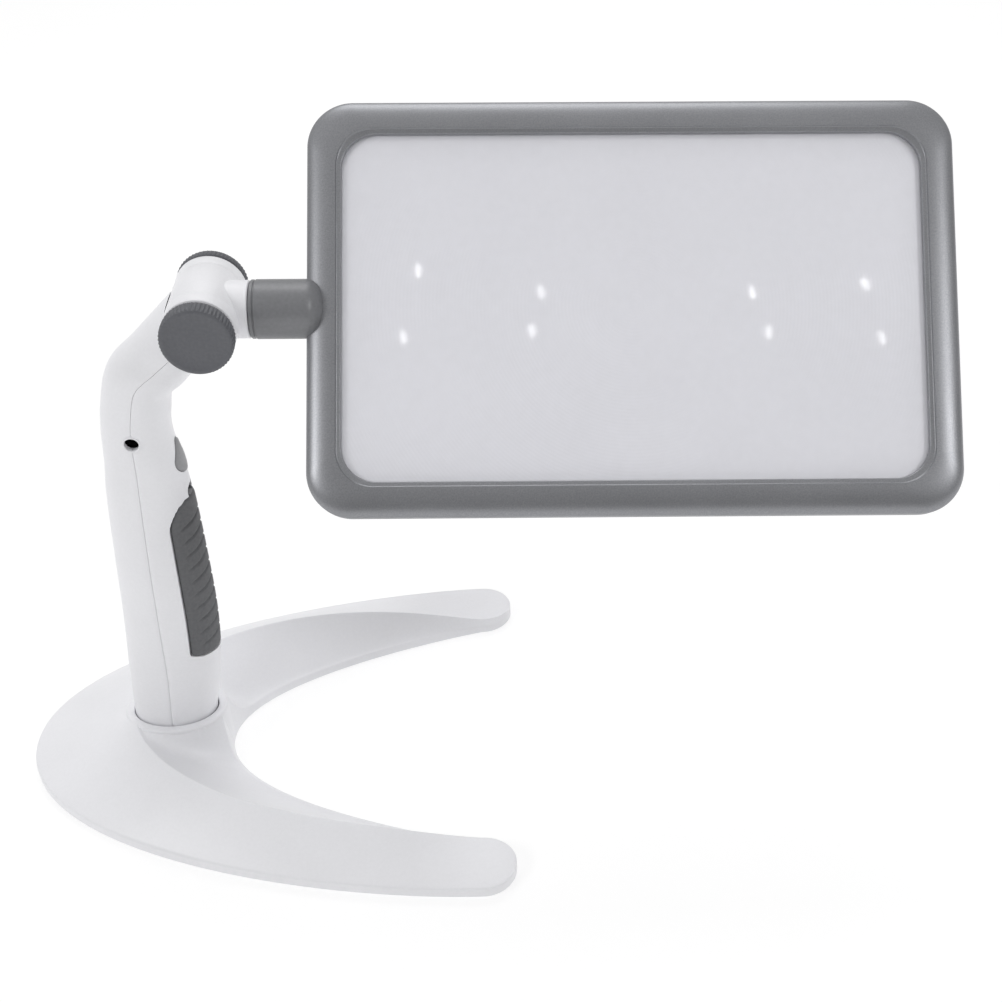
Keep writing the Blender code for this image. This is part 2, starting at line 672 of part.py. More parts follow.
def build_handle():
    front = half_shell("handle_front_shell", 1, white_plastic)
    back = half_shell("handle_back_shell", -1, white_plastic)
    for label, sign in (("near", -1), ("far", 1)):
        boolean(front, half_lug(f"front_lug_{label}", 1, sign), "UNION")
        boolean(back, half_lug(f"back_lug_{label}", -1, sign), "UNION")

    # Screws: one between the cells and the circuit board, one in the neck.
    low_x, low_behind, low_ahead, _ = handle_at(lower_screw_height)
    low = seam_screw("shell_screw_lower", (low_x, 0.0, lower_screw_height), (1, 0, 0),
                     low_behind - 0.0012, low_ahead - 0.0030)
    neck_x, neck_z = neck_point(barrel_radius + 0.0145)
    neck_ahead = (neck_direction[2], 0.0, -neck_direction[0])
    high = seam_screw("shell_screw_upper", (neck_x, 0.0, neck_z), neck_ahead,
                      barrel_radius - 0.0015, barrel_radius - 0.0035)
    for boss, post, thread, well in (low, high):
        boolean(front, boss, "UNION")
        boolean(back, post, "UNION")
        boolean(front, thread)
        boolean(back, thread)
        boolean(back, well)

    axis = (0.0, 0.0, hub_height)
    room = rod("knuckle_room", barrel_radius + 0.0004, (0.0, -knuckle_half_width - fit_gap, axis[2]),
               (0.0, knuckle_half_width + fit_gap, axis[2]), parent=stand, segments=40)
    bolt_hole = rod("bolt_hole", bolt_radius + fit_gap, (0.0, -0.03, axis[2]),
                    (0.0, 0.03, axis[2]), parent=stand)
    jack_x = handle_at(jack_height)[0]
    jack_hole = rod("jack_hole", jack_bore + 0.0003, (jack_x, -0.03, jack_height),
                    (jack_x, 0.0, jack_height), parent=stand)
    for shell in (front, back):
        boolean(shell, room)
        boolean(shell, bolt_hole)
        boolean(shell, jack_hole)

    # Grip, light button and brightness slide, each with its recess in the front shell
    boolean(front, grip_body("grip_recess", fit_gap, 0.004))
    switch_outline = capsule(switch_half_width, switch_bottom, switch_top, switch_corner)
    boolean(front, front_prism("switch_well", switch_outline, 0.01, 0.012))
    switch_room = capsule(switch_half_width + control_lip + fit_gap, switch_bottom - control_lip,
                          switch_top + control_lip, switch_corner)
    boolean(front, front_pad("switch_room", switch_room, control_seat, 0.012))
    boolean(front, front_prism("button_well", teardrop(fit_gap), 0.01, 0.012))
    boolean(front, front_pad("button_room", teardrop(control_lip + fit_gap), control_seat, 0.012))
    grip = grip_body("grip_pad", 0.0, 0.0002, grip_rubber)
    boolean(grip, front_prism("grip_notch", capsule(switch_half_width + 0.0008,
                                                    switch_bottom - 0.0008, switch_top + 0.004,
                                                    0.0034), 0.01, 0.012))
    lip_near = control_seat + fit_gap
    lip_far = lip_near + control_lip_thickness
    button = front_prism("light_button", teardrop(0.0), 0.0005, lip_far + 0.0002,
                         control_plastic)
    boolean(button, front_pad("button_lip", teardrop(control_lip), lip_near, lip_far), "UNION")
    slider_low = switch_bottom + 2 * fit_gap
    slider_high = switch_top - fit_gap - switch_travel
    slider_outline = capsule(switch_half_width - fit_gap, slider_low, slider_high,
                             switch_corner - fit_gap, 4)
    slider = front_prism("brightness_slide", slider_outline, -0.0016, lip_far + 0.0002,
                         control_plastic)
    slider_lip = capsule(switch_half_width + control_lip - fit_gap, slider_low - control_lip + fit_gap,
                         slider_high + control_lip - fit_gap, switch_corner - 2 * fit_gap, 4)
    boolean(slider, front_pad("slide_lip", slider_lip, lip_near, lip_far), "UNION")
    middle = (slider_low + slider_high) / 2
    thumb_outline = capsule(0.0022, middle - 0.0010, middle + 0.0010, 0.0006, 2)
    thumb = front_prism("slide_thumb", thumb_outline, -0.0004, 0.0024)
    boolean(slider, thumb, "UNION")


def build_power():
    """Cells in their tube, contacts, circuit board, jack and the lead up the neck."""
    up = Vector((math.sin(cell_lean), 0.0, math.cos(cell_lean)))
    foot = Vector((cell_foot_x, 0.0, cell_bottom))
    for i in range(2):
        start = foot + up * i * (cell_length + fit_gap)
        rod(f"battery_cell_{i + 1}", cell_radius, start, start + up * cell_length, cell_wrap, stand)
    top = foot + up * (2 * cell_length + fit_gap)
    tube = rod("battery_tube", cell_radius + 0.0012, foot - up * 0.0005, top, black_plastic, stand)
    boolean(tube, rod("tube_bore", cell_radius + fit_gap, foot - up * 0.01, top + up * 0.01,
                      parent=stand))
    turn = up.to_track_quat("Z", "Y").to_matrix().to_4x4()
    turned("cell_contact", [(0.0, 0.0008), (0.0045, 0.0008), (0.0045, fit_gap), (0.0, fit_gap)],
           Matrix.Translation(top) @ turn, steel, stand, 20)

    # End cap: an oval plug that closes the spigot
    cap = oval("handle_end_cap", 0.0, socket_floor_top + fit_gap, spigot_bottom - fit_gap,
               white_plastic)
    plug = oval("cap_plug", -shell_wall - 0.0026, socket_floor_top + 0.001, spigot_bottom + 0.0030)
    boolean(cap, plug, "UNION")
    spring_low = spigot_bottom + 0.0030 + fit_gap
    coil = bpy.data.curves.new("cell_spring", "CURVE")
    coil.dimensions = "3D"
    coil.bevel_depth = 0.0004
    coil.bevel_resolution = 1
    coil.use_fill_caps = True
    spline = coil.splines.new("POLY")
    turns = 3.0
    count = 43
    spline.points.add(count - 1)
    for i, point in enumerate(spline.points):
        share = i / (count - 1)
        angle = 2 * math.pi * turns * share
        radius = 0.0046 - 0.0020 * share
        rise = (cell_bottom - spring_low - 0.0014) * share
        point.co = (cell_foot_x + radius * math.cos(angle), radius * math.sin(angle),
                    spring_low + 0.0004 + rise, 1.0)
    add_object("cell_spring", mesh_from_curve("cell_spring", coil), steel, stand)

    board_x = handle_at(0.139)[0] + 0.0036
    board_front = board_x + 0.0016
    board_half = min(room_beside(0.1262, board_front), room_beside(0.1500, board_front)) - fit_gap
    box("circuit_board", (board_x, -board_half, 0.1262), (board_front, board_half, 0.1500),
        circuit_green, stand)
    button_z = button_bottom + button_half_width
    tact_x = board_x + 0.0016 + fit_gap
    button_back = front_point((button_bottom + button_top) / 2) - control_seat - 2 * fit_gap - control_lip_thickness
    box("press_switch", (tact_x, -0.0030, button_z - 0.0030),
        (button_back - button_travel - 2 * fit_gap, 0.0030, button_z + 0.0030), black_plastic, stand)
    jack_x = handle_at(jack_height)[0]
    inside = handle_half_width - shell_wall - 0.0006
    jack = box("power_jack", (jack_x - 0.0038, -inside + 0.0018, jack_height - 0.0038),
               (jack_x + 0.0038, 0.0030, jack_height + 0.0038), black_plastic, stand)
    boolean(jack, rod("jack_socket", jack_bore, (jack_x, -0.02, jack_height),
                      (jack_x, 0.0010, jack_height), parent=stand, segments=20))
    boolean(jack, rod("jack_pin", 0.0006, (jack_x, -0.0060, jack_height),
                      (jack_x, 0.0020, jack_height), parent=stand, segments=10), "UNION")


def build_hinge():
    """Bolt, washers and the two clamp knobs."""
    y_front = -barrel_half_length - fit_gap
    y_rear = barrel_half_length + fit_gap
    knob_front = y_front - fit_gap
    bolt_front = knob_front - front_knob_thickness + 0.0018
    bolt_rear = y_rear + fit_gap + rear_knob_thickness - 0.0016
    rod("hinge_bolt", bolt_radius, (0.0, bolt_front, 0.0), (0.0, bolt_rear, 0.0), steel, knob_axis)
    inner = bolt_radius + fit_gap
    for label, y in (("front", y_front - washer_thickness), ("rear", y_rear)):
        profile = [(inner, washer_thickness), (washer_radius, washer_thickness),
                   (washer_radius, 0.0), (inner, 0.0), (inner, washer_thickness)]
        turned(f"{label}_washer", profile, along_y(y=y), steel, knob_axis, 28)
    for label, thickness, turn in (("front", front_knob_thickness, 1), ("rear", rear_knob_thickness,
                                                                          0)):
        recess = washer_thickness + fit_gap
        bore_end = thickness - 0.0015 if turn else thickness - 0.0013
        profile = [
            (0.0, thickness), (knob_radius - 0.0010, thickness), (knob_radius, thickness - 0.0010),
            (knob_radius, 0.0004), (knob_radius - 0.0004, 0.0), (washer_radius + fit_gap, 0.0),
            (washer_radius + fit_gap, recess), (inner, recess), (inner, bore_end), (0.0, bore_end)]
        flip = Matrix.Rotation(math.pi * turn, 4, "X")
        y = knob_front if turn else y_rear + fit_gap
        turned(f"{label}_knob", profile, along_y(y=y) @ flip, knob_plastic, knob_axis, 36)


def build_arm():
    """Knuckle with its stub, the swivel axle, its washer and its nut. x runs along the arm."""
    knuckle = rod("arm_knuckle", barrel_radius, (0.0, -knuckle_half_width, 0.0),
                  (0.0, knuckle_half_width, 0.0), white_plastic, hinge, segments=40)
    boolean(knuckle, rod("arm_stub", stub_radius, (0.0, 0.0, 0.0), (stub_length, 0.0, 0.0),
                         parent=hinge, segments=32), "UNION")
    boolean(knuckle, rod("knuckle_bore", bolt_radius + fit_gap, (0.0, -0.03, 0.0),
                         (0.0, 0.03, 0.0), parent=hinge))
    axle_start = bolt_radius + 0.0024
    boolean(knuckle, rod("axle_hole", axle_radius + fit_gap, (axle_start, 0.0, 0.0),
                         (0.03, 0.0, 0.0), parent=hinge))
    shelf = sleeve_start + sleeve_bore_length + fit_gap
    nut_start = shelf + washer_thickness + fit_gap
    rod("swivel_axle", axle_radius, (axle_start + fit_gap, 0.0, 0.0), (nut_start + 0.0044, 0.0, 0.0),
        steel, hinge)
    inner = axle_radius + fit_gap
    washer = [(inner, washer_thickness), (nut_chamber_radius - 0.0008, washer_thickness),
              (nut_chamber_radius - 0.0008, 0.0), (inner, 0.0), (inner, washer_thickness)]
    turned("swivel_washer", washer, along_x(shelf), steel, hinge, 24)
    nut = [(inner, 0.0030), (nut_chamber_radius - 0.0008, 0.0030), (nut_chamber_radius - 0.0008, 0.0),
           (inner, 0.0), (inner, 0.0030)]
    turned("swivel_nut", nut, along_x(nut_start), steel, hinge, 24)


def build_sleeve():
    """The swivel sleeve: a tube with a domed end, slotted for the frame's edge."""
    straight = frame_start
    profile = [(0.0, straight + dome_length)]
    for step in range(1, 9):
        angle = math.radians(90.0) * step / 8
        profile.append((sleeve_radius * math.sin(angle), straight + dome_length * math.cos(angle)))
    profile += [(sleeve_radius, sleeve_start + 0.0003), (sleeve_radius - 0.0003, sleeve_start),
                (0.0, sleeve_start)]
    sleeve = turned("swivel_sleeve", profile, along_x(), grey_plastic, swivel, 36)
    shelf = sleeve_start + sleeve_bore_length
    slot_half = frame_thickness / 2 + fit_gap
    slot_start = frame_start - fit_gap
    bore = [(0.0, slot_start + 0.001), (nut_chamber_radius, slot_start + 0.001),
            (nut_chamber_radius, shelf), (axle_radius + fit_gap, shelf),
            (axle_radius + fit_gap, 0.0), (0.0, 0.0)]
    boolean(sleeve, turned("sleeve_bore", bore, along_x(), None, swivel, 24))
    boolean(sleeve, box("frame_slot", (slot_start, -slot_half, -0.02), (0.06, slot_half, 0.02),
                        parent=swivel))
    return sleeve


def ring_outlines(grow_hole=0.0):
    outer = rounded_rectangle(frame_half_length, frame_half_height, frame_corner, frame_centre)
    hole = rounded_rectangle(aperture_half_length + grow_hole, aperture_half_height + grow_hole,
                             frame_corner - 0.0035 + grow_hole, frame_centre)
    return [outer, hole]


def build_lens_head():
    """Front and back rims, lens, light boards, lights and screws. y is towards the page."""
    sleeve = build_sleeve()
    front_y = -frame_thickness / 2
    back_y = frame_thickness / 2
    split_y = back_y - back_rim_thickness
    face_back = front_y + face_thickness
    rim = flat("frame_front_rim", ring_outlines(), front_y, split_y - fit_gap, silver_paint, swivel)
    # The pocket goes round a solid block, which takes the screws that hold the sleeve.
    pocket_half = (frame_half_length - rim_wall, frame_half_height - rim_wall)
    pocket = rounded_rectangle(*pocket_half, frame_corner - rim_wall, frame_centre)
    pocket_start = frame_start + rim_wall
    block = [(pocket_start, block_half_height), (frame_start + block_length, block_half_height),
             (frame_start + block_length, -block_half_height), (pocket_start, -block_half_height)]
    pocket = pocket[:len(pocket) // 2] + block + pocket[len(pocket) // 2:]
    corner_x = frame_half_length - corner_boss_inset
    corner_z = frame_half_height - corner_boss_inset
    corners = [(frame_centre + side_x * corner_x, side_z * corner_z)
               for side_x in (-1, 1) for side_z in (-1, 1)]
    turns = np.linspace(0.0, 2 * math.pi, 16, endpoint=False)
    bosses = [[(x + corner_boss_radius * math.cos(turn), z + corner_boss_radius * math.sin(turn))
               for turn in turns] for x, z in corners]
    back = flat("frame_back_rim", ring_outlines(), split_y, back_y, silver_paint, swivel)
    for i, (x, z) in enumerate(corners):
        screw_between(f"frame_screw_{i + 1}", (rim, back), (back,), x, z, front_y + 0.0018,
                      back_y - 0.0003, 0.0010, 0.0019)
    for i, z in enumerate((-0.0040, 0.0040)):
        screw_between(f"sleeve_screw_{i + 1}", (rim, back, sleeve), (sleeve,),
                      frame_start + 0.0024, z, front_y - 0.0020, back_y + 0.0032, 0.0010, 0.0018)
    boolean(rim, flat("rim_pocket", [pocket, *bosses], face_back, back_y, parent=swivel))

    lens_low = face_back + fit_gap
    lens_outline = rounded_rectangle(aperture_half_length + lens_overlap,
                                     aperture_half_height + lens_overlap, 0.0139, frame_centre)
    flat("fresnel_lens", [lens_outline], lens_low, lens_low + lens_thickness, lens_plastic, swivel)

    # Light boards beside the lens, two a side, each with two lights that face the page
    board_out = pocket_half[0] - 0.0005
    board_in = aperture_half_length + lens_overlap + 0.0006
    board_low = face_back + fit_gap
    light_low = board_low + 0.0010 + fit_gap
    light_number = 0
    for label, side_x, side_z in (("left_upper", -1, 1), ("left_lower", -1, -1),
                                  ("right_upper", 1, 1), ("right_lower", 1, -1)):
        ends_x = sorted(frame_centre + side_x * reach for reach in (board_in, board_out))
        ends_z = sorted(side_z * reach for reach in (0.0115, 0.0500))
        box(f"light_board_{label}", (ends_x[0], board_low, ends_z[0]),
            (ends_x[1], board_low + 0.0010, ends_z[1]), circuit_green, swivel)
        middle_x = sum(ends_x) / 2
        for reach in (0.0200, 0.0420):
            light_number += 1
            z = side_z * reach
            half = 0.0016
            box(f"light_{light_number}", (middle_x - half, light_low, z - half),
                (middle_x + half, light_low + 0.0011, z + half), led_white, swivel)
            boolean(back, rod(f"light_window_{light_number}", 0.0026, (middle_x, 0.0, z),
                              (middle_x, 0.02, z), parent=swivel, segments=16))


def screw_between(name, drilled, sunk, x, z, tip_y, head_y, radius, head_radius):
    """A screw along y with its head on the page side.

    Its hole is cut in the drilled pieces and its head's well in the sunk ones.
    """
    head_depth = 0.0012
    length = head_y - tip_y
    profile = [(0.0, length), (head_radius, length), (head_radius, length - head_depth),
               (radius, length - head_depth), (radius, 0.0), (0.0, 0.0)]
    turned(name, profile, along_y(x, tip_y, z), steel, swivel, 12)
    hole = rod(name + "_hole", radius + fit_gap, (x, tip_y - fit_gap, z), (x, head_y, z),
               parent=swivel, segments=12)
    well = rod(name + "_well", head_radius + fit_gap, (x, head_y - head_depth - fit_gap, z),
               (x, head_y + 0.01, z), parent=swivel, segments=12)
    for piece in drilled:
        boolean(piece, hole)
    for piece in sunk:
        boolean(piece, well)


build_base()
build_handle()
build_power()
build_hinge()
build_arm()
build_lens_head()
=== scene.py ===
"""The lighted reading magnifier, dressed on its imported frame. Metres, +Z up."""

import json
import math

import bmesh
import bpy
import numpy as np
from mathutils import Matrix, Vector


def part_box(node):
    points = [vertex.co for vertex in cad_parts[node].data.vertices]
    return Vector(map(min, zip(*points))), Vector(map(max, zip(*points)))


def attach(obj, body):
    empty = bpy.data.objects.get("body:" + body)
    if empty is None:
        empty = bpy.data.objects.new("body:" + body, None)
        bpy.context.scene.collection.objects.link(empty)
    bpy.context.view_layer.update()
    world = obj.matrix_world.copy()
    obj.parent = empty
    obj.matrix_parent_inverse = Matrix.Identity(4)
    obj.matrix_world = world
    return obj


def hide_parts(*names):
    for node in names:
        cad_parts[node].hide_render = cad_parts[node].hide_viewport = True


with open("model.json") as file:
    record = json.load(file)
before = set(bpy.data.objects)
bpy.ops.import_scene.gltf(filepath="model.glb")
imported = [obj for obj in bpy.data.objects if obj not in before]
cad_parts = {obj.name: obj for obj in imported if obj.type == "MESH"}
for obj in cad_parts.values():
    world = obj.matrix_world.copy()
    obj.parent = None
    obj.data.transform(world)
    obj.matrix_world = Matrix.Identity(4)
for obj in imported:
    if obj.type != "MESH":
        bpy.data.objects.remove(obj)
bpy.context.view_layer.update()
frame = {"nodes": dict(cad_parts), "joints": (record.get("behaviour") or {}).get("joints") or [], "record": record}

# ---------------------------------------------------------------- sizes, as the frame has them
joints = {joint["name"]: joint for joint in frame["joints"]}
hub = Vector(joints["arm_lift"]["pos_m"])
arm_axis = Vector(joints["lens_tilt"]["axis"]).normalized()
droop = math.asin(-arm_axis.z)
tilt = math.radians(42.4)
arm_place = Matrix.Translation(hub) @ Matrix.Rotation(droop, 4, "Y")
head_place = arm_place @ Matrix.Rotation(-tilt, 4, "X")
stand_place = Matrix.Translation((hub.x, 0.0, 0.0))
hub_place = Matrix.Translation(hub)

# The base and the plate's bed under it.
BASE_BACK, BASE_HALF, TIP_R = 0.100, 0.0833, 0.0123
TIP_X = 0.0929 - TIP_R
LIFT, EDGE, INNER_EDGE, RIDGE, RIDGE_TIP = 0.0010, 0.0052, 0.0030, 0.0218, 0.0066
OUTER_POWERS, INNER_POWERS, RIDGE_POWERS = (1.71, 2.07), (1.09, 2.05), (2.68, 1.77)
PLATE_TOP, PLATE_GAP, BED_INSET, BED_INNER_INSET = 0.0025, 0.0002, 0.0022, 0.0050
# The handle's foot and the collar round it.
SPIGOT_X, SPIGOT_REACH, HALF_WIDTH = -0.0406, 0.0164, 0.0110
COLLAR_RIM, COLLAR_WALL, SOCKET_GAP = 0.0216, 0.0036, 0.00035
COLLAR_OUT = SOCKET_GAP + COLLAR_WALL
COLLAR_FRONT = SPIGOT_X + SPIGOT_REACH + COLLAR_OUT
# The hinge, the stub and the sleeve.
BARREL_R, BARREL_HALF, KNUCKLE_HALF = 0.0120, 0.0150, 0.0097
STUB_R, STUB_END = 0.0095, 0.01485
SLEEVE_R, SLEEVE_START, DOME = 0.00975, 0.01515, 0.0062
KNOB_R = 0.0121
# The frame, the lens and its lights.
FRAME_START, FRAME_X, FRAME_Z, FRAME_THICK = 0.0331, 0.1065, 0.0688, 0.0090
FRAME_MID = FRAME_START + FRAME_X
BORDER, CORNER, CORNER_LOSS = 0.0115, 0.0150, 0.0035
LENS_INSET, LENS_CORNER, LENS_FRONT, LENS_BACK = 0.0091, 0.0139, -0.0016, 0.0004
LIGHTS, WINDOW_R, CAP_R = 8, 0.0026, 0.0021
# The handle's shells, and what sits in them.
SEAM, SHELL_WALL, THICK_WALL = 0.00010, 0.0022, 0.0042
CUT_GAP, HUB_GAP = 0.0003, 0.0001
SWITCH_HALF, SWITCH_LOW, SWITCH_TOP, SWITCH_CORNER = 0.0036, 0.1229, 0.1315, 0.0030
BUTTON_R, BUTTON_LOW, BUTTON_TIP, BUTTON_MIDDLE = 0.0048, 0.1368, 0.1502, 0.1417
JACK_Z, JACK_HOLE_R = 0.1553, 0.0028
GRIP_LOW, GRIP_SHOULDER, GRIP_TOP = 0.0545, 0.1160, 0.1268
GRIP_HALF, GRIP_TOP_HALF, GRIP_CORNER = 0.0093, 0.0052, 0.0022
NECK_RISE = math.radians(43.0)
NECK = np.array([math.cos(NECK_RISE), 0.0, math.sin(NECK_RISE)])


# ---------------------------------------------------------------- node materials
CLOUD_SCALE, RELIEF_DEPTH, ROUGHNESS_SPREAD = 28.0, 0.0002, 0.05
RING_PITCH = 0.0012


def material(name, colour, roughness, metallic=0.0, fleck=0.04, fleck_scale=900.0, bump=0.02,
             bump_scale=1600.0, cloud=0.05, **sockets):
    """A Principled shader on Object coordinates. A fine and a broad noise, added in their shares,
    move the colour between two near tones. The broad one moves the roughness, and a third noise
    is a fine bump. Any other socket is set by its name, with _ for a space."""
    made = bpy.data.materials.new(name)
    made.use_nodes = True
    nodes, links = made.node_tree.nodes, made.node_tree.links
    shader = nodes["Principled BSDF"]
    place = nodes.new("ShaderNodeTexCoord")
    fine = nodes.new("ShaderNodeTexNoise")
    fine.inputs["Scale"].default_value = fleck_scale
    fine.inputs["Detail"].default_value = 3.0
    broad = nodes.new("ShaderNodeTexNoise")
    broad.inputs["Scale"].default_value = CLOUD_SCALE
    broad.inputs["Detail"].default_value = 4.0
    grain = nodes.new("ShaderNodeTexNoise")
    grain.inputs["Scale"].default_value = bump_scale
    for noise in (fine, broad, grain):
        links.new(place.outputs["Object"], noise.inputs["Vector"])
    spread = fleck + cloud
    scaled = nodes.new("ShaderNodeMath")
    scaled.operation = "MULTIPLY"
    links.new(broad.outputs["Fac"], scaled.inputs[0])
    scaled.inputs[1].default_value = cloud / spread
    mix = nodes.new("ShaderNodeMath")
    mix.operation = "MULTIPLY_ADD"
    links.new(fine.outputs["Fac"], mix.inputs[0])
    mix.inputs[1].default_value = fleck / spread
    links.new(scaled.outputs[0], mix.inputs[2])
    ramp = nodes.new("ShaderNodeValToRGB")
    for element, side in zip(ramp.color_ramp.elements, (-1, 1)):
        element.color = (*[min(1.0, c * (1 + side * spread)) for c in colour], 1.0)
    ramp.color_ramp.elements[0].position = 0.30
    ramp.color_ramp.elements[1].position = 0.70
    links.new(mix.outputs[0], ramp.inputs["Fac"])
    links.new(ramp.outputs["Color"], shader.inputs["Base Color"])
    rough = nodes.new("ShaderNodeMapRange")
    rough.inputs["To Min"].default_value = roughness - ROUGHNESS_SPREAD
    rough.inputs["To Max"].default_value = roughness + ROUGHNESS_SPREAD
    links.new(broad.outputs["Fac"], rough.inputs["Value"])
    links.new(rough.outputs["Result"], shader.inputs["Roughness"])
    relief = nodes.new("ShaderNodeBump")
    relief.inputs["Strength"].default_value = bump
    relief.inputs["Distance"].default_value = RELIEF_DEPTH
    links.new(grain.outputs["Fac"], relief.inputs["Height"])
    links.new(relief.outputs["Normal"], shader.inputs["Normal"])
    shader.inputs["Metallic"].default_value = metallic
    for socket, value in sockets.items():
        shader.inputs[socket.replace("_", " ")].default_value = value
    return made


def lens_material():
    """Clear plastic with fine rings, as a grooved sheet has: the bump is the sine of the distance
    from the middle of the lens."""
    made = material("lens_sheet", (0.90, 0.90, 0.945), 0.24, fleck=0.01, fleck_scale=300.0,
                    bump=0.05, cloud=0.01, Transmission_Weight=0.35, IOR=1.40, Coat_Weight=0.6,
                    Coat_Roughness=0.035)
    nodes, links = made.node_tree.nodes, made.node_tree.links
    shader = nodes["Principled BSDF"]
    place = nodes.new("ShaderNodeTexCoord")
    shift = nodes.new("ShaderNodeMapping")
    shift.vector_type = "POINT"
    middle = head_place @ Vector((FRAME_MID, 0.0, 0.0))
    shift.inputs["Location"].default_value = tuple(-middle)
    length = nodes.new("ShaderNodeVectorMath")
    length.operation = "LENGTH"
    rings = nodes.new("ShaderNodeMath")
    rings.operation = "MULTIPLY"
    rings.inputs[1].default_value = 2 * math.pi / RING_PITCH
    wave = nodes.new("ShaderNodeMath")
    wave.operation = "SINE"
    bump = nodes.new("ShaderNodeBump")
    bump.inputs["Strength"].default_value = 0.03
    bump.inputs["Distance"].default_value = RELIEF_DEPTH
    links.new(place.outputs["Object"], shift.inputs["Vector"])
    links.new(shift.outputs["Vector"], length.inputs[0])
    links.new(length.outputs["Value"], rings.inputs[0])
    links.new(rings.outputs[0], wave.inputs[0])
    links.new(wave.outputs[0], bump.inputs["Height"])
    links.new(bump.outputs["Normal"], shader.inputs["Normal"])
    return made


WHITE = material("white_plastic", (0.835, 0.835, 0.86), 0.40, fleck=0.012, cloud=0.02, bump=0.06)
SILVER = material("silver_paint", (0.285, 0.289, 0.305), 0.38, 0.70, fleck=0.10,
                  fleck_scale=2200.0, bump=0.05, bump_scale=2600.0, cloud=0.03)
GREY = material("sleeve_grey", (0.195, 0.198, 0.208), 0.38, 0.1, fleck=0.06, cloud=0.03, bump=0.04)
KNOB = material("knob_grey", (0.105, 0.108, 0.120), 0.50, fleck=0.08, cloud=0.04, bump=0.10)
GRIP = material("grip_rubber", (0.115, 0.117, 0.123), 0.62, fleck=0.10, cloud=0.05, bump=0.25)
CONTROL = material("control_grey", (0.30, 0.30, 0.31), 0.45, fleck=0.05, cloud=0.03, bump=0.08)
DARK = material("dark_plastic", (0.018, 0.018, 0.019), 0.40, fleck=0.10, cloud=0.05, bump=0.05)
STEEL = material("bright_steel", (0.62, 0.62, 0.64), 0.28, 1.0, fleck=0.05, cloud=0.04, bump=0.08)
IRON = material("cast_iron", (0.15, 0.15, 0.16), 0.62, 0.7, fleck=0.20, cloud=0.15, bump=0.4,
                bump_scale=700.0)
RUBBER = material("foot_rubber", (0.035, 0.035, 0.036), 0.80, fleck=0.10, cloud=0.08, bump=0.2)
BOARD = material("circuit_green", (0.03, 0.17, 0.07), 0.45, fleck=0.10, cloud=0.06, bump=0.05)
LED = material("led_cap", (0.92, 0.89, 0.70), 0.18, fleck=0.02, cloud=0.02, bump=0.02)
WRAP = material("cell_wrap", (0.09, 0.20, 0.42), 0.35, fleck=0.03, cloud=0.05, bump=0.03)
LENS = lens_material()

slots = {"white_plastic": WHITE, "grey_plastic": GREY, "knob_plastic": KNOB, "grip_rubber": GRIP,
         "control_plastic": CONTROL, "silver_paint": SILVER, "lens_plastic": LENS, "steel": STEEL,
         "iron": IRON, "foot_rubber": RUBBER, "circuit_green": BOARD, "led_white": LED,
         "black_plastic": DARK, "cell_wrap": WRAP}
for entry in frame["record"]["subparts"]:
    node = frame["nodes"][entry["node"]]
    node.data.materials.clear()
    node.data.materials.append(slots[entry["material_slot"]])


# ---------------------------------------------------------------- surface tools
def surface(name, points, skin, body=None, wrap=(False, True), ends=False, place=None,
            angle=35.0):
    """A mesh over a grid of points: each point makes a four-sided face with the next one in its
    row and the two after them. The grid may wrap either way, and ends=True caps both rows."""
    points = np.asarray(points, float)
    rows, columns = points.shape[:2]
    row, column = np.meshgrid(np.arange(rows if wrap[0] else rows - 1),
                              np.arange(columns if wrap[1] else columns - 1), indexing="ij")
    next_row, next_column = (row + 1) % rows, (column + 1) % columns
    quads = np.stack([row * columns + column, row * columns + next_column,
                      next_row * columns + next_column, next_row * columns + column], axis=-1)
    faces = quads.reshape(-1, 4).tolist()
    if ends:
        faces.append(list(range(columns)))
        faces.append(list(range((rows - 1) * columns, rows * columns))[::-1])
    data = bpy.data.meshes.new(name)
    data.from_pydata(points.reshape(-1, 3).tolist(), [], faces)
    if place is not None:
        data.transform(place)
    shape = bmesh.new()
    shape.from_mesh(data)
    bmesh.ops.remove_doubles(shape, verts=shape.verts, dist=2e-7)
    bmesh.ops.dissolve_degenerate(shape, edges=shape.edges, dist=1e-7)
    if ends:
        bmesh.ops.triangulate(shape, faces=[f for f in shape.faces if len(f.verts) > 4])
    bmesh.ops.recalc_face_normals(shape, faces=shape.faces)
    shape.to_mesh(data)
    shape.free()
    data.shade_smooth()
    data.set_sharp_from_angle(angle=math.radians(angle))
    data.materials.append(skin)
    obj = bpy.data.objects.new(name, data)
    bpy.context.scene.collection.objects.link(obj)
    if body:
        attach(obj, body)
    return obj


def revolve(name, profile, skin, body, place, segments=96):
    """The (along, radius) profile turned about the place's X axis: the radius times the cosine
    and the sine of each turn."""
    profile = np.asarray(profile, float)
    along, radius = profile[:, :1], profile[:, 1:]
    turn = np.linspace(0.0, 2 * math.pi, segments, endpoint=False)
    points = np.stack([np.repeat(along, segments, axis=1), radius * np.cos(turn),
                       radius * np.sin(turn)], axis=-1)
    return surface(name, points, skin, body, place=place)


def fillet(points, radii, steps=5):
    """A polyline with its inner corners rounded by quadratic arcs of the given reaches. A reach of
    0.0 keeps the corner."""
    points = np.asarray(points, float)
    t = np.linspace(0.0, 1.0, steps)[:, None]
    pieces = [points[:1]]
    for before, corner, after, reach in zip(points, points[1:], points[2:], radii):
        if reach == 0.0:
            pieces.append(corner[None])
            continue
        into = before - corner
        away = after - corner
        start = corner + into * min(0.5, reach / max(np.linalg.norm(into), 1e-9))
        end = corner + away * min(0.5, reach / max(np.linalg.norm(away), 1e-9))
        pieces.append(start * (1 - t) ** 2 + corner * 2 * t * (1 - t) + end * t ** 2)
    return np.vstack([*pieces, points[-1:]])


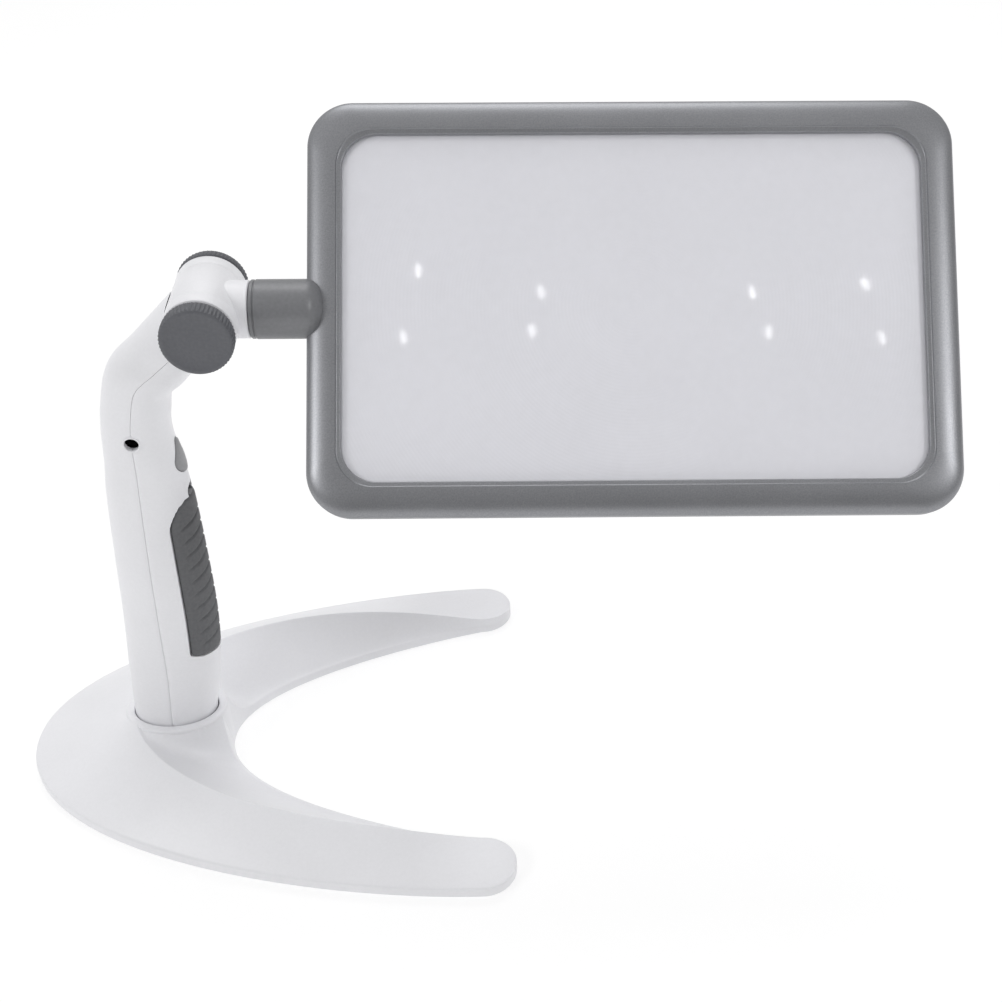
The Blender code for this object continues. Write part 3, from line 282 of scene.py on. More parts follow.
def rounded_corners(half_wide, half_tall, radius, steps):
    """A rectangle's four round corners, one after another: a quarter circle about each centre."""
    quarter = np.repeat(np.arange(4), steps + 1)
    angle = math.pi / 2 * (quarter + np.tile(np.arange(steps + 1) / steps, 4))
    side = np.stack([np.where(quarter % 3 == 0, 1, -1), np.where(quarter < 2, 1, -1)], axis=1)
    arc = radius * np.stack([np.cos(angle), np.sin(angle)], axis=1)
    return side * (np.array([half_wide, half_tall]) - radius) + arc


def cut(obj, helpers):
    """Cuts the helpers from the piece one after another, applies each cut and removes them."""
    for helper in helpers:
        modifier = obj.modifiers.new("cut", "BOOLEAN")
        modifier.operation = "DIFFERENCE"
        modifier.solver = "EXACT"
        modifier.object = helper
        bpy.context.view_layer.update()
        graph = bpy.context.evaluated_depsgraph_get()
        done = bpy.data.meshes.new_from_object(obj.evaluated_get(graph))
        obj.modifiers.clear()
        obj.data = done
        bpy.data.objects.remove(helper, do_unlink=True)
    obj.data.set_sharp_from_angle(angle=math.radians(32.0))


# ---------------------------------------------------------------- camera, light and floor
CAMERA_LENS = 53.89
CAMERA_PLACE = (0.10211 + hub.x, -0.42935, 0.44103)
PITCH, HEADING, ROLL = np.radians([37.07, -1.23, -3.18])
BULB_AWAY, BULB_SIZE, BULB_POWER = 0.9, (0.004, 0.010), 0.003
BULB_SPOTS = ((-0.070, 0.012), (-0.075, -0.010), (-0.030, 0.005), (-0.033, -0.008),
              (0.039, 0.004), (0.044, -0.009), (0.076, 0.007), (0.081, -0.011))

camera_data = bpy.data.cameras.new("camera")
camera_data.sensor_width = 36.0
camera_data.lens = CAMERA_LENS
camera_data.clip_start = 0.01
camera = bpy.data.objects.new("camera", camera_data)
bpy.context.scene.collection.objects.link(camera)
forward = np.array([math.sin(HEADING) * math.cos(PITCH), math.cos(HEADING) * math.cos(PITCH),
                    -math.sin(PITCH)])
level = np.array([math.cos(HEADING), -math.sin(HEADING), 0.0])
over = np.cross(level, forward)
right = level * math.cos(ROLL) + over * math.sin(ROLL)
up = over * math.cos(ROLL) - level * math.sin(ROLL)
turned = np.eye(4)
turned[:3] = np.column_stack([right, up, -forward, CAMERA_PLACE])
camera.matrix_world = Matrix(turned.tolist())
bpy.context.scene.camera = camera


def area_light(name, place, target, size, power):
    """A rectangular lamp at the place, facing the target."""
    data = bpy.data.lights.new(name, "AREA")
    data.shape = "RECTANGLE"
    data.size, data.size_y = size
    data.energy = power
    lamp = bpy.data.objects.new(name, data)
    lamp.location = place
    aim = Vector(target) - Vector(place)
    lamp.rotation_euler = aim.to_track_quat("-Z", "Y").to_euler()
    bpy.context.scene.collection.objects.link(lamp)


# The room is brightest along one way, and falls off evenly with the cosine of the angle to it.
BRIGHT_WAY = (-0.18, 0.52, 0.83)
world = bpy.data.worlds.new("studio")
bpy.context.scene.world = world
world.use_nodes = True
sky_nodes, sky_links = world.node_tree.nodes, world.node_tree.links
way = sky_nodes.new("ShaderNodeTexCoord")
facing = sky_nodes.new("ShaderNodeVectorMath")
facing.operation = "DOT_PRODUCT"
facing.inputs[1].default_value = BRIGHT_WAY
falloff = sky_nodes.new("ShaderNodeMapRange")
falloff.inputs["From Min"].default_value = -0.55
falloff.inputs["From Max"].default_value = 0.95
falloff.inputs["To Min"].default_value = 0.14
falloff.inputs["To Max"].default_value = 0.74
sky_links.new(way.outputs["Generated"], facing.inputs[0])
sky_links.new(facing.outputs["Value"], falloff.inputs["Value"])
sky_links.new(falloff.outputs["Result"], sky_nodes["Background"].inputs["Strength"])
sky_nodes["Background"].inputs["Color"].default_value = (1.0, 1.0, 1.0, 1.0)
area_light("left_panel", (-0.95, -0.62, 0.85), (0.0, 0.0, 0.2), (0.38, 0.38), 3.8)
area_light("right_panel", (1.02, -0.62, 0.85), (0.1, 0.0, 0.2), (0.28, 0.34), 3.2)
area_light("overhead", (0.0, 0.75, 1.45), (0.0, 0.0, 0.1), (1.0, 0.8), 6.0)


def bulb_over(name, across, upward):
    """A small lamp on the line along which this spot of the lens mirrors the camera's sight."""
    spot = head_place @ Vector((FRAME_MID + across, LENS_FRONT, upward))
    facing_out = head_place.to_3x3() @ Vector((0.0, -1.0, 0.0))
    sight = (spot - camera.matrix_world.translation).normalized()
    away = sight.reflect(facing_out) * BULB_AWAY
    area_light(name, spot + away, spot, BULB_SIZE, BULB_POWER)


for number, (across, upward) in enumerate(BULB_SPOTS, 1):
    bulb_over(f"bulb_{number}", across, upward)
bpy.context.scene.view_settings.view_transform = "Standard"

floor_skin = bpy.data.materials.new("studio_floor")
floor_skin.use_nodes = True
floor_shader = floor_skin.node_tree.nodes["Principled BSDF"]
floor_shader.inputs["Base Color"].default_value = (0.40, 0.40, 0.40, 1.0)
floor_shader.inputs["Roughness"].default_value = 0.9
floor_shader.inputs["Emission Color"].default_value = (1.0, 1.0, 1.0, 1.0)
floor_shader.inputs["Emission Strength"].default_value = 0.64
bpy.ops.mesh.primitive_plane_add(size=12.0, location=(0.0, 0.0, 0.0))
floor = bpy.context.object
floor.name = "floor"
floor.data.materials.append(floor_skin)


# ---------------------------------------------------------------- crescent base
def superellipse_row(back_x, half_width, powers, angles):
    """A superellipse quarter from the back to the tips: the cosine and the sine of a swing, each
    raised to two over its power. It is read at angles about the tips' middle."""
    power_x, power_y = powers
    swing = np.linspace(0.0, math.pi / 2, 4000)
    x = TIP_X - (TIP_X - back_x) * np.cos(swing) ** (2 / power_x)
    y = half_width * np.sin(swing) ** (2 / power_y)
    seen = np.arctan2(y, TIP_X - x)
    return np.stack([np.interp(angles, seen, x), np.interp(angles, seen, y)], axis=1)


def arm_rows(inset, inner_inset, angles, turns):
    """Outer, ridge and inner rows of one arm with its round tip, and the ridge's heights."""
    width = BASE_HALF - inset
    tip = TIP_R - (inset + inner_inset) / 2
    inner_width = width - 2 * tip
    outer = superellipse_row(-BASE_BACK + inset, width, OUTER_POWERS, angles)
    inner = superellipse_row(COLLAR_FRONT - inner_inset, inner_width, INNER_POWERS, angles)
    ridge_width = max(BASE_HALF - 2 * TIP_R + 0.0021, inner_width + 0.0006)
    ridge = superellipse_row(SPIGOT_X - SPIGOT_REACH, ridge_width, RIDGE_POWERS, angles)
    height = RIDGE_TIP + (RIDGE - RIDGE_TIP) * np.cos(angles) ** 1.2
    centre = np.array([TIP_X, width - tip])
    round_outer = centre + tip * np.stack([np.sin(turns), np.cos(turns)], axis=1)
    round_inner = centre + tip * np.stack([np.sin(turns), -np.cos(turns)], axis=1)
    share = (ridge[-1, 1] - inner[-1, 1]) / (outer[-1, 1] - inner[-1, 1])
    round_ridge = round_inner + (round_outer - round_inner) * share
    round_height = EDGE + (RIDGE_TIP - EDGE) * np.cos(turns)
    return (np.vstack([outer, round_outer]), np.vstack([ridge, round_ridge]),
            np.vstack([inner, round_inner]), np.concatenate([height, round_height]))


BLEND_REACH, BLEND_DROP, BLEND_POWER = 0.0130, 0.0009, 3.2


def collar_blend(points):
    """Heights raised towards just under the collar's rim, by a power of how near each point is to
    the collar's outer oval."""
    reach, width = SPIGOT_REACH + COLLAR_OUT, HALF_WIDTH + COLLAR_OUT
    away = np.hypot((points[:, 0] - SPIGOT_X) / reach, points[:, 1] / width) - 1.0
    near = np.clip(1.0 - away * width / BLEND_REACH, 0.0, 1.0)
    climb = np.clip(COLLAR_RIM - BLEND_DROP - points[:, 2], 0.0, 1.0)
    return points[:, 2] + climb * near ** BLEND_POWER


SWELL, SHOULDER, FALL_POWER = 0.05, 0.0022, 1.35
FOOT_ROUND, RIDGE_ROUND, INNER_ROUND = 0.0009, 0.0007, 0.0008


def crescent_base():
    """The base: a section carried from tip to tip. It climbs from a low outer wall to the ridge,
    swollen by a half sine, and falls to the inner edge by a power of the way left. It returns
    under the rim round the plate's bed."""
    angles = math.pi / 2 * np.linspace(0.0, 1.0, 130) ** 1.2
    turns = np.linspace(0.0, math.pi * 0.496, 25)[1:]
    outer, ridge, inner, height = arm_rows(0.0, 0.0, angles, turns)
    bed_outer, _, bed_inner, _ = arm_rows(BED_INSET, BED_INNER_INSET, angles, turns)
    bed = PLATE_TOP + PLATE_GAP
    sections = []
    up_shares = np.linspace(0.0, 1.0, 20)[:, None]
    down_shares = np.linspace(0.0, 1.0, 34)[1:, None]
    radii = [FOOT_ROUND, *[0.0] * 18, RIDGE_ROUND, *[0.0] * 32, INNER_ROUND]
    for outside, peak, inside, z, bed_outside, bed_inside in zip(
            outer, ridge, inner, height, bed_outer, bed_inner):
        reach_in = np.linalg.norm(peak - inside)
        shoulder = inside + (peak - inside) * min(0.4, SHOULDER / max(reach_in, 1e-6))
        climb_z = EDGE + (z - EDGE) * (up_shares + SWELL * np.sin(math.pi * up_shares))
        fall_z = INNER_EDGE + (z - INNER_EDGE) * (1 - down_shares) ** FALL_POWER
        climb = np.hstack([outside + (peak - outside) * up_shares, climb_z])
        fall = np.hstack([peak + (shoulder - peak) * down_shares, fall_z])
        fall[:, 2] = collar_blend(fall)
        climb[:, 2] = collar_blend(climb)
        top = fillet(np.vstack([[(*outside, LIFT)], climb, fall, [(*inside, LIFT)]]), radii, 4)
        under = [(*bed_inside, LIFT), (*bed_inside, bed), (*bed_outside, bed),
                 (*bed_outside, LIFT)]
        sections.append(np.vstack([top, under]))
    half = np.array(sections)
    mirrored = half[:0:-1] * np.array([1.0, -1.0, 1.0])
    return surface("base_body", np.vstack([mirrored, half]), WHITE, "base", ends=True,
                   place=stand_place, angle=40.0)


def oval_ring(profile, segments=120):
    """Rows of the handle foot's oval, each grown outwards by the first of its (grow, height)."""
    turn = np.linspace(0.0, 2 * math.pi, segments, endpoint=False)
    grow, height = np.asarray(profile, float).T[:, :, None]
    x = SPIGOT_X + (SPIGOT_REACH + grow) * np.cos(turn)
    y = (HALF_WIDTH + grow) * np.sin(turn)
    return np.stack([x, y, np.broadcast_to(height, x.shape)], axis=-1)


def collar():
    """The collar round the handle's foot: an oval wall and bore that meet over a rounded rim, a
    large quarter circle outside and a small one inside."""
    outer_r, inner_r = 0.0011, 0.0007
    outer = np.radians(np.linspace(15, 90, 6))
    inner = np.radians(np.linspace(90, 0, 5))
    profile = np.vstack([
        [(COLLAR_OUT, 0.0040), (COLLAR_OUT, COLLAR_RIM - 0.0014)],
        np.stack([COLLAR_OUT - outer_r + outer_r * np.cos(outer),
                  COLLAR_RIM - outer_r + outer_r * np.sin(outer)], axis=1),
        np.stack([SOCKET_GAP + inner_r - inner_r * np.cos(inner),
                  COLLAR_RIM - inner_r + inner_r * np.sin(inner)], axis=1),
        [(SOCKET_GAP, 0.0060)]])
    return surface("base_collar", oval_ring(profile), WHITE, "base", wrap=(True, True),
                   place=stand_place)


base_body = crescent_base()
base_collar = collar()
halfway = SOCKET_GAP + COLLAR_WALL * 0.5
socket = surface("socket", oval_ring([(halfway, 0.0052), (halfway, 0.04)], 96), WHITE, ends=True,
                 place=stand_place)
cut(base_body, [socket])
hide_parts("base_shell")

# ---------------------------------------------------------------- handle
def neck_row(away, behind, ahead, half_width):
    """A row of the handle on the straight line of its neck, a distance away from the hub."""
    return -away * NECK[0], hub.z - away * NECK[2], behind, ahead, half_width


# Each row is the seam's x and height, the depth behind and ahead of it, and the half-width.
handle_rows = np.array([
    (SPIGOT_X, 0.0075, SPIGOT_REACH, SPIGOT_REACH, HALF_WIDTH),
    (SPIGOT_X, COLLAR_RIM, SPIGOT_REACH, SPIGOT_REACH, HALF_WIDTH),
    (-0.0382, 0.0450, 0.0167, 0.0188, HALF_WIDTH),
    (-0.0368, 0.0700, 0.0153, 0.0202, HALF_WIDTH),
    (-0.0350, 0.1000, 0.0145, 0.0190, HALF_WIDTH),
    (-0.0329, 0.1280, 0.0140, 0.0166, HALF_WIDTH),
    (-0.0318, 0.1420, 0.0130, 0.0142, HALF_WIDTH),
    (-0.0310, 0.1550, 0.0123, 0.0121, HALF_WIDTH),
    (-0.0294, 0.1650, 0.0119, 0.0118, HALF_WIDTH),
    neck_row(0.0355, 0.0116, 0.0116, HALF_WIDTH + 0.0002),
    neck_row(0.0255, 0.0115, 0.0115, HALF_WIDTH + 0.0010),
    neck_row(0.0145, 0.0116, 0.0106, BARREL_HALF - 0.0012),
    neck_row(0.0020, 0.0118, 0.0096, BARREL_HALF - 0.0002),
])


def catmull_rom(rows, samples):
    """A Catmull-Rom curve through the rows, read at evenly spaced samples: a cubic between each
    pair of rows, whose slope at a row is half the step between its neighbours."""
    held = np.vstack([2 * rows[0] - rows[1], rows, 2 * rows[-1] - rows[-2]])
    places = np.linspace(0.0, len(rows) - 1, samples)
    start = np.minimum(places.astype(int), len(rows) - 2)
    t = (places - start)[:, None]
    a, b, c, d = (held[start + k] for k in range(4))
    return 0.5 * (2 * b + (c - a) * t + (2 * a - 5 * b + 4 * c - d) * t ** 2
                  + (3 * b - a - 3 * c + d) * t ** 3)


# The rows up to the bend, where the height still climbs steadily.
upright = catmull_rom(handle_rows, 600)[:430]
LEAN_SPREAD, LEAN_START, LEAN_FADE = 0.009, 0.012, 0.02
GROOVE_DEPTH, GROOVE_TOP, GROOVE_FADE = 0.00030, 0.162, 0.012


def handle_at(height):
    """Seam x, depth ahead and half-width of the upright part at a height."""
    return [np.interp(height, upright[:, 1], upright[:, k]) for k in (0, 3, 4)]


def handle_half(name, side):
    """A half shell: an elliptical arc, drawn in a little at the seam, is carried up the seam line
    and leans with it. The lean is averaged over a short length, so that no two sections cross."""
    stations = catmull_rom(handle_rows, 150)
    line = stations[:, :2]
    step = np.gradient(line, axis=0)
    strides = np.linalg.norm(np.diff(line, axis=0), axis=1)
    travelled = np.concatenate([[0.0], np.cumsum(strides)])
    lean = np.arctan2(step[:, 0], step[:, 1])
    apart = (travelled[:, None] - travelled[None, :]) / LEAN_SPREAD
    weights = np.exp(-apart ** 2) * np.gradient(travelled)
    lean = (weights * lean).sum(axis=1) / weights.sum(axis=1)
    lean = lean * np.clip((travelled - LEAN_START) / LEAN_FADE, 0.0, 1.0)
    heading_line = np.stack([np.sin(lean), np.cos(lean)], axis=1)
    wall = THICK_WALL if side > 0 else SHELL_WALL
    swing = np.radians(np.concatenate([[-90, -89.2, -87.6], np.linspace(-85, 85, 41),
                                       [87.6, 89.2, 90]]))
    groove = GROOVE_DEPTH * np.clip((np.abs(np.degrees(swing)) - 86.5) / 3.5, 0.0, 1.0) ** 1.5
    inner_swing = np.radians(np.linspace(90, -90, 25))
    rings = []
    for (x, z, behind, ahead, width), (tx, tz) in zip(stations, heading_line):
        depth = (ahead if side > 0 else behind) - SEAM / 2
        drawn_in = groove * min(1.0, max(0.08, (GROOVE_TOP - z) / GROOVE_FADE))
        reach = SEAM / 2 + (depth - drawn_in) * np.cos(swing)
        across = (width - drawn_in) * np.sin(swing)
        deep = SEAM / 2 + (depth - wall) * np.cos(inner_swing)
        aside = (width - SHELL_WALL) * np.sin(inner_swing)
        off_seam = side * np.concatenate([reach, deep])
        y = np.concatenate([across, aside])
        rings.append(np.stack([x + tz * off_seam, y, z - tx * off_seam], axis=-1))
    return surface(name, rings, WHITE, ends=True, place=stand_place)


def prism(name, outline, near, far):
    """A helper: an outline of (y, z) points carried along X between two places."""
    rings = [np.insert(outline, 0, x, axis=1) for x in (near, far)]
    return surface(name, rings, WHITE, ends=True, place=stand_place)


def rod(name, radius, start, end, segments=64):
    """A helper: a round bar turned about the line from its start to its end."""
    start, end = Vector(start), Vector(end)
    turn = (end - start).to_track_quat("X", "Z").to_matrix().to_4x4()
    length = (end - start).length
    return revolve(name, [(0, 0), (0, radius), (length, radius), (length, 0)], WHITE, None,
                   Matrix.Translation(start) @ turn, segments)


def teardrop(grow, count=48):
    """The button's outline: part of a circle for the round foot, then three points for the
    narrow tip. It is grown outwards for the hole round it."""
    radius = BUTTON_R + grow
    centre = BUTTON_LOW + BUTTON_R * 1.02
    tip = BUTTON_TIP + grow * 1.4
    tip_half, tip_fall = 0.0012 + grow / 3, 0.0006
    turn = np.radians(np.linspace(-200.0, 20.0, count))
    foot = np.stack([radius * np.cos(turn), centre + radius * np.sin(turn)], axis=1)
    return np.vstack([foot, [(tip_half, tip - tip_fall), (0.0, tip), (-tip_half, tip - tip_fall)]])


def capsule(half, low, high, corner, steps=8):
    """A rounded rectangle of (y, z) points between two heights."""
    return rounded_corners(half, (high - low) / 2, corner, steps) + [0.0, (low + high) / 2]


def grip_half(height):
    """Half the grip's width: round foot corners, parallel sides, then an arch up to the switch."""
    climbed = np.clip((height - GRIP_SHOULDER) / (GRIP_TOP - GRIP_SHOULDER), 0.0, 1.0)
    corner = np.clip((GRIP_LOW + GRIP_CORNER - height) / GRIP_CORNER, 0.0, 1.0)
    arch = (GRIP_HALF - GRIP_TOP_HALF) * np.sqrt(np.clip(1 - climbed ** 1.6, 0, 1))
    return GRIP_TOP_HALF + arch - GRIP_CORNER * (1 - np.sqrt(np.clip(1 - corner ** 2, 0, 1)))


RIB_PITCH, RIB_SLANT, RIB_WIDTH, RIB_DEPTH = 0.0062, 0.55, 0.075, 0.0006
RIBS_LOW, RIBS_TOP, RIBS_FADE = 0.0585, 0.1205, 0.002


def grip_pad(name, grow, proud, ribs, skin, body):
    """A band of the handle's front, standing proud of it. Its grooves are bell curves of the
    height less a share of the way in from the edge, so that they climb to the middle line."""
    heights = np.linspace(GRIP_LOW - grow, GRIP_TOP + grow, 170 if ribs else 40)
    rings = []
    for height in heights:
        x, ahead, width = handle_at(height)
        half = grip_half(height) + grow
        swing = np.linspace(-1, 1, 61 if ribs else 25) * math.asin(min(0.98, half / width))
        raised = np.full_like(swing, proud)
        if ribs:
            way_in = half - np.abs(width * np.sin(swing))
            edge = np.clip(way_in / 0.0012, 0, 1) * np.clip(
                (GRIP_TOP - height) / 0.0015, 0, 1) * np.clip((height - GRIP_LOW) / 0.0015, 0, 1)
            raised = raised - 0.0006 * (1 - np.sqrt(edge))
            phase = ((height - RIB_SLANT * way_in) / RIB_PITCH) % 1.0
            groove = np.exp(-((phase - 0.5) / RIB_WIDTH) ** 2)
            inside = np.clip(way_in / 0.0016 - 0.6, 0, 1)
            field = np.clip((height - RIBS_LOW) / RIBS_FADE, 0, 1) * np.clip(
                (RIBS_TOP - height) / RIBS_FADE, 0, 1)
            raised = raised - RIB_DEPTH * groove * inside * field
        inner = np.full_like(swing, -0.0018 - grow)
        ring = []
        for lift, angle in ((raised, swing), (inner, swing[::-1])):
            ring.append(np.stack([x + (ahead + lift) * np.cos(angle),
                                  (width + lift) * np.sin(angle),
                                  np.full_like(angle, height)], axis=-1))
        rings.append(np.vstack(ring))
    return surface(name, rings, skin, body, ends=True, place=stand_place, angle=50.0)


front_shell = handle_half("handle_front", 1)
back_shell = handle_half("handle_back", -1)
jack_x = hub.x + handle_at(JACK_Z)[0]


def hub_room():
    """A helper: the room between the ears, in which the knuckle's barrel turns."""
    half = KNUCKLE_HALF + HUB_GAP
    return rod("room", BARREL_R + CUT_GAP, (hub.x, -half, hub.z), (hub.x, half, hub.z))


def jack_hole():
    """A helper: the power inlet's hole, on the seam's near side."""
    return rod("jack_hole", JACK_HOLE_R, (jack_x, -0.03, JACK_Z), (jack_x, 0.0, JACK_Z), 32)


switch_room = capsule(SWITCH_HALF, SWITCH_LOW, SWITCH_TOP, SWITCH_CORNER)
cut(front_shell, [prism("switch_well", switch_room, -0.030, -0.005),
                  prism("button_well", teardrop(CUT_GAP), -0.030, -0.005),
                  grip_pad("grip_bed", CUT_GAP, 0.004, False, WHITE, None),
                  hub_room(), jack_hole()])
cut(back_shell, [hub_room(), jack_hole()])
for shell in (front_shell, back_shell):
    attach(shell, "handle")


def ear(name, side, sign):
    """Half of a hinge ear: half a disc with a rounded outer rim, on one side of the seam. Each
    ring is a half circle in the plane of the neck's line and the way ahead of it."""
    turn = np.linspace(0.0, math.pi, 60)
    ahead = np.array([NECK[2], 0.0, -NECK[0]]) * side
    profile = [(0.0, KNUCKLE_HALF + 0.00003), (BARREL_R - 0.00005, KNUCKLE_HALF + 0.00003),
               (BARREL_R, KNUCKLE_HALF + 0.0001), (BARREL_R, BARREL_HALF - 0.0009),
               (BARREL_R - 0.0003, BARREL_HALF - 0.0003), (BARREL_R - 0.0009, BARREL_HALF),
               (0.0, BARREL_HALF)]
    rings = []
    for radius, y in profile:
        off = np.maximum(radius * np.sin(turn), 0.00001)
        arc = NECK * (radius * np.cos(turn))[:, None] + ahead * off[:, None]
        arc[:, 1] = sign * y
        rings.append(arc)
    return surface(name, rings, WHITE, "handle", ends=True, place=hub_place)


ears = [ear(f"ear_{half}_{end}", side, sign) for half, side in (("front", 1), ("back", -1))
        for end, sign in (("near", -1), ("far", 1))]
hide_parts("handle_front_shell")
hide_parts("handle_back_shell")

grip = grip_pad("grip_pad_ribbed", 0.0, 0.0002, True, GRIP, "handle")
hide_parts("grip_pad")


def light_button():
    """The teardrop button: its outline is drawn in towards the middle by shares, and each row is
    lifted off the handle's elliptical front as a low dome. The back is flat."""
    middle = np.array([0.0, BUTTON_MIDDLE])
    profile = np.array([(1.0, -0.0046), (1.0, 0.0000), (0.985, 0.0003), (0.95, 0.0005),
                        (0.7, 0.0007), (0.4, 0.0008), (0.0, 0.0008)])
    share, lift = profile.T[:, :, None]
    rows = middle + (teardrop(0.0, 60) - middle) * share[..., None]
    y, z = rows[..., 0], rows[..., 1]
    seam_x, ahead, width = handle_at(z)
    x = seam_x + ahead * np.sqrt(1 - (y / width) ** 2) + lift
    back_x, back_ahead, _ = handle_at(0.1435)
    x[0] = back_x + back_ahead + profile[0, 1]
    dome = np.stack([x, y, z], axis=-1)
    back = np.broadcast_to([x[0, 0] - 0.0001, 0.0, BUTTON_MIDDLE], dome[:1].shape)
    return surface("light_button_cap", np.concatenate([back, dome]), CONTROL, "light_button",
                   place=stand_place)


button = light_button()
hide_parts("light_button")


def jack_ring():
    """A thin ring round the power inlet: circles that follow the handle's elliptical side."""
    turn = np.linspace(0.0, 2 * math.pi, 48, endpoint=False)
    profile = np.array([(0.0025, 0.0004), (0.0025, -0.0002), (0.0027, -0.0004),
                        (0.0030, -0.0004), (0.0032, -0.0001), (0.0032, 0.0004)])
    radius, lift = profile.T[:, :, None]
    x, z = radius * np.cos(turn), radius * np.sin(turn)
    skin_y = -HALF_WIDTH * np.sqrt(np.clip(1 - (x / 0.0122) ** 2, 0, 1))
    return surface("inlet_ring", np.stack([x, skin_y + lift, z], axis=-1), WHITE, "handle",
                   wrap=(True, True), place=Matrix.Translation((jack_x, 0.0, JACK_Z)))


inlet_ring = jack_ring()


# ---------------------------------------------------------------- hinge and arm
KNOB_RIBS, KNOB_RIB_DEPTH, KNOB_START = 56, 0.00035, BARREL_HALF + 0.0006
FRONT_KNOB_THICK, REAR_KNOB_THICK = 0.0057, 0.0034


def knob(name, sign, thickness, body):
    """A clamp knob: a profile of (radius, height, ribbed) turned about the hub. Where it is
    ribbed, a cosine with one wave for each rib takes the radius in."""
    turn = np.linspace(0.0, 2 * math.pi, 8 * KNOB_RIBS, endpoint=False)
    dip = KNOB_RIB_DEPTH * (0.5 - 0.5 * np.cos(turn * KNOB_RIBS))
    profile = [(0.0, 0.0, 0), (KNOB_R - 0.0010, 0.0, 0), (KNOB_R - 0.0004, 0.0003, 0),
               (KNOB_R - 0.0001, 0.0007, 1), (KNOB_R, thickness * 0.5, 1),
               (KNOB_R - 0.0001, thickness - 0.0009, 1), (KNOB_R - 0.0005, thickness - 0.0003, 0),
               (KNOB_R - 0.0011, thickness, 0), (KNOB_R - 0.0019, thickness - 0.0001, 0),
               (KNOB_R - 0.0023, thickness - 0.0003, 0), (KNOB_R * 0.4, thickness - 0.0002, 0),
               (0.0, thickness - 0.0002, 0)]
    radius, y, ribbed = np.array(profile).T[:, :, None]
    radius = radius - dip * ribbed
    off = np.broadcast_to(sign * (KNOB_START + y), radius.shape)
    rings = np.stack([radius * np.cos(turn), off, radius * np.sin(turn)], axis=-1)
    return surface(name, rings, KNOB, body, place=hub_place, angle=50.0)


front_knob = knob("clamp_knob_front", -1, FRONT_KNOB_THICK, "front_knob")
rear_knob = knob("clamp_knob_rear", 1, REAR_KNOB_THICK, "rear_knob")
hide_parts("front_knob")
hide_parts("rear_knob")

along_y = hub_place @ Matrix.Rotation(math.radians(90.0), 4, "Z")
knuckle = revolve("knuckle_barrel", [
    (-KNUCKLE_HALF, 0.0), (-KNUCKLE_HALF, BARREL_R - 0.00005), (-KNUCKLE_HALF + 0.0001, BARREL_R),
    (KNUCKLE_HALF - 0.0001, BARREL_R), (KNUCKLE_HALF, BARREL_R - 0.00005), (KNUCKLE_HALF, 0.0)],
    WHITE, "arm", along_y, 128)
stub = revolve("knuckle_stub", [
    (0.0, 0.0), (0.0, STUB_R), (STUB_END - 0.0004, STUB_R), (STUB_END, STUB_R - 0.0004),
    (STUB_END, 0.0)], WHITE, "arm", arm_place, 128)
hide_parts("arm_knuckle")

dome = [(FRAME_START + DOME * math.sin(a), SLEEVE_R * math.cos(a))
        for a in np.radians(np.linspace(0, 90, 20))]
sleeve_mouth = [(0.0, -SLEEVE_R), (0.0, -0.0004), (0.0003, -0.0001), (0.0011, -0.0001),
                (0.0013, -0.0004), (0.0016, -0.0004), (0.0018, 0.0)]
sleeve_profile = np.vstack([np.array(sleeve_mouth) + [SLEEVE_START, SLEEVE_R], dome])
sleeve = revolve("sleeve", sleeve_profile, GREY, "lens_head", head_place, 96)
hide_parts("swivel_sleeve")


# ---------------------------------------------------------------- lens frame
def rounded_path(half_x, half_z, radius, corner_steps=24, side_steps=10):
    """Points round a rectangle with round corners: each corner's arc, then its side's even steps,
    so that the points of two insets match."""
    corners = rounded_corners(half_x, half_z, radius, corner_steps).reshape(4, -1, 2)
    start, end = corners[:, -1:], np.roll(corners[:, :1], -1, axis=0)
    sides = start + (end - start) * np.arange(1, side_steps)[:, None] / side_steps
    return np.concatenate([corners, sides], axis=1).reshape(-1, 2)


def rim(name, profile, skin):
    """An (inset, y) section carried round the frame. The corners tighten a little towards the
    lens, in step with the inset."""
    rings = []
    for inset, y in profile:
        radius = CORNER - CORNER_LOSS * inset / BORDER
        x, z = rounded_path(FRAME_X - inset, FRAME_Z - inset, radius).T
        rings.append(np.stack([FRAME_MID + x, np.full_like(x, y), z], axis=-1))
    return surface(name, rings, skin, wrap=(True, True), place=head_place, angle=28.0)


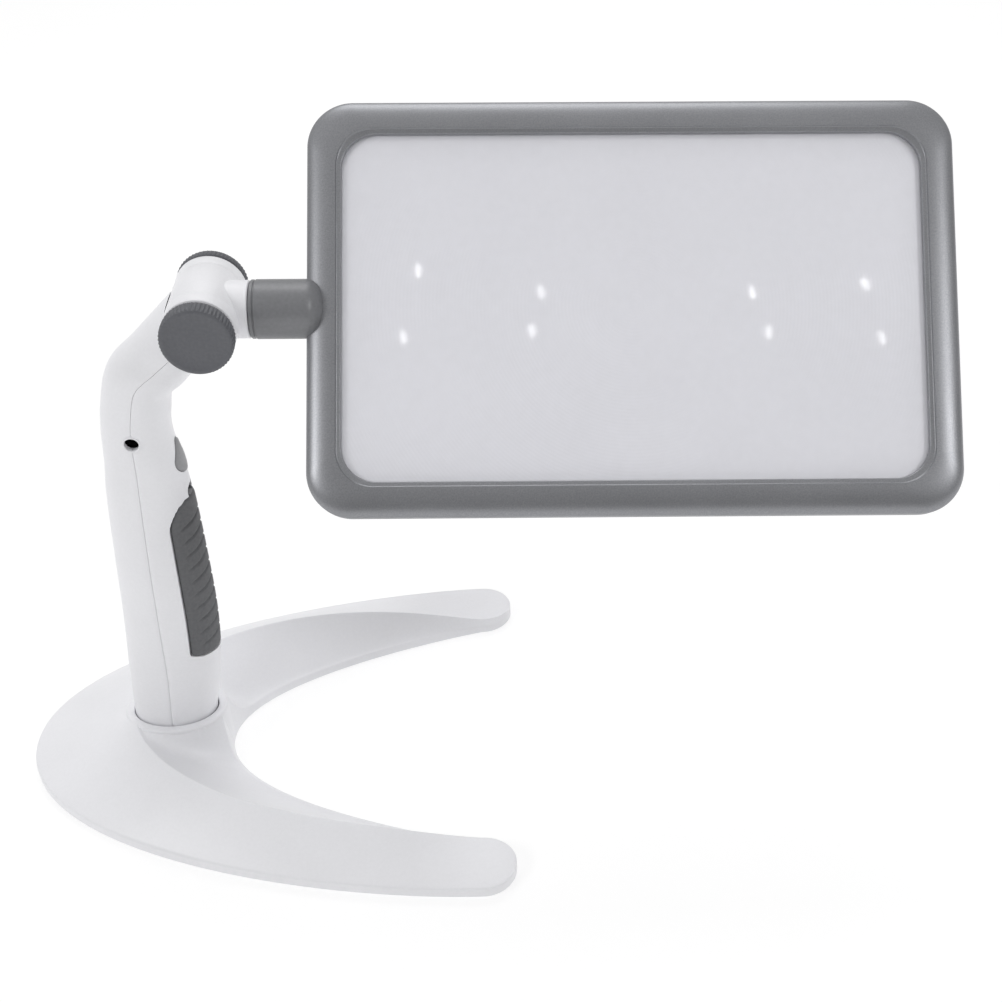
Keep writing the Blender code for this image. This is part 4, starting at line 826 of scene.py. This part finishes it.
HALF_T, PARTING, CROWN_IN = FRAME_THICK / 2, 0.0006, 0.0096
swing = np.radians(np.linspace(90, 0, 22))
crown = np.stack([CROWN_IN * (1 - np.sin(swing)),
                  -PARTING - (HALF_T - PARTING) * np.cos(swing)], axis=1)
front_section = np.vstack([[(0.0006, 0.0006), (0.0, 0.0003)], crown, fillet([
    (CROWN_IN, -HALF_T), (0.0099, -HALF_T + 0.0007), (0.0113, -HALF_T + 0.0009),
    (BORDER, -HALF_T + 0.0014), (BORDER, -HALF_T + 0.0026), (0.0024, -HALF_T + 0.0026),
    (0.0022, 0.0006)], [0.0003, 0.0002, 0.0002, 0.0001, 0.0002], 4)[1:]])
frame_front = rim("frame_front", front_section, SILVER)
back_section = fillet([
    (0.0006, 0.0011), (0.0, 0.0014), (0.0, HALF_T - 0.0001), (0.0030, HALF_T),
    (0.0110, HALF_T), (BORDER, HALF_T - 0.0006), (BORDER, 0.0011)],
    [0.0002, 0.0020, 0.0008, 0.0004, 0.0002], 6)
frame_back = rim("frame_back", back_section, SILVER)


def light_middle(index):
    """The middle of the frame's light of that number."""
    low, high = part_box(f"light_{index}")
    return (low + high) / 2


light_numbers = range(1, LIGHTS + 1)
backward = (head_place.to_3x3() @ Vector((0.0, 1.0, 0.0))).normalized()
cut(frame_back, [rod("window", WINDOW_R, middle - backward * 0.001, middle + backward * 0.012, 32)
                 for middle in map(light_middle, light_numbers)])
for piece in (frame_front, frame_back):
    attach(piece, "lens_head")
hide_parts("frame_front_rim")
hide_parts("frame_back_rim")


def light_cap(index):
    """A light's clear cap: a short barrel under half a sphere, inside its window."""
    seat, shoulder = -0.0003, 0.0012
    climb = np.radians(np.linspace(8, 90, 12))
    half_sphere = np.stack([shoulder + CAP_R * np.sin(climb), CAP_R * np.cos(climb)], axis=1)
    profile = np.vstack([[(seat, 0.0), (seat, CAP_R), (shoulder, CAP_R)], half_sphere])
    middle = head_place.inverted() @ light_middle(index)
    place = head_place @ Matrix.Translation((middle.x, 0.0, middle.z)) @ Matrix.Rotation(
        math.radians(90.0), 4, "Z")
    cap = revolve(f"light_cap_{index}", profile, LED, "lens_head", place, 32)
    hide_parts(f"light_{index}")


for index in light_numbers:
    light_cap(index)


def lens():
    """The lens: a flat sheet whose rows are its outline times a share, out from the middle on the
    front and back in to it behind."""
    out = [0.0, 0.25, 0.5, 0.75, 0.97, 1.0]
    share = np.array(out + out[::-1])[:, None]
    y = np.repeat([LENS_FRONT, LENS_BACK], len(out))[:, None]
    path = rounded_path(FRAME_X - LENS_INSET, FRAME_Z - LENS_INSET, LENS_CORNER)
    x, z = FRAME_MID + path[:, 0] * share, path[:, 1] * share
    rings = np.stack([x, np.broadcast_to(y, x.shape), z], axis=-1)
    return surface("lens_sheet", rings, LENS, "lens_head", place=head_place)


lens_sheet = lens()
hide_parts("fresnel_lens")
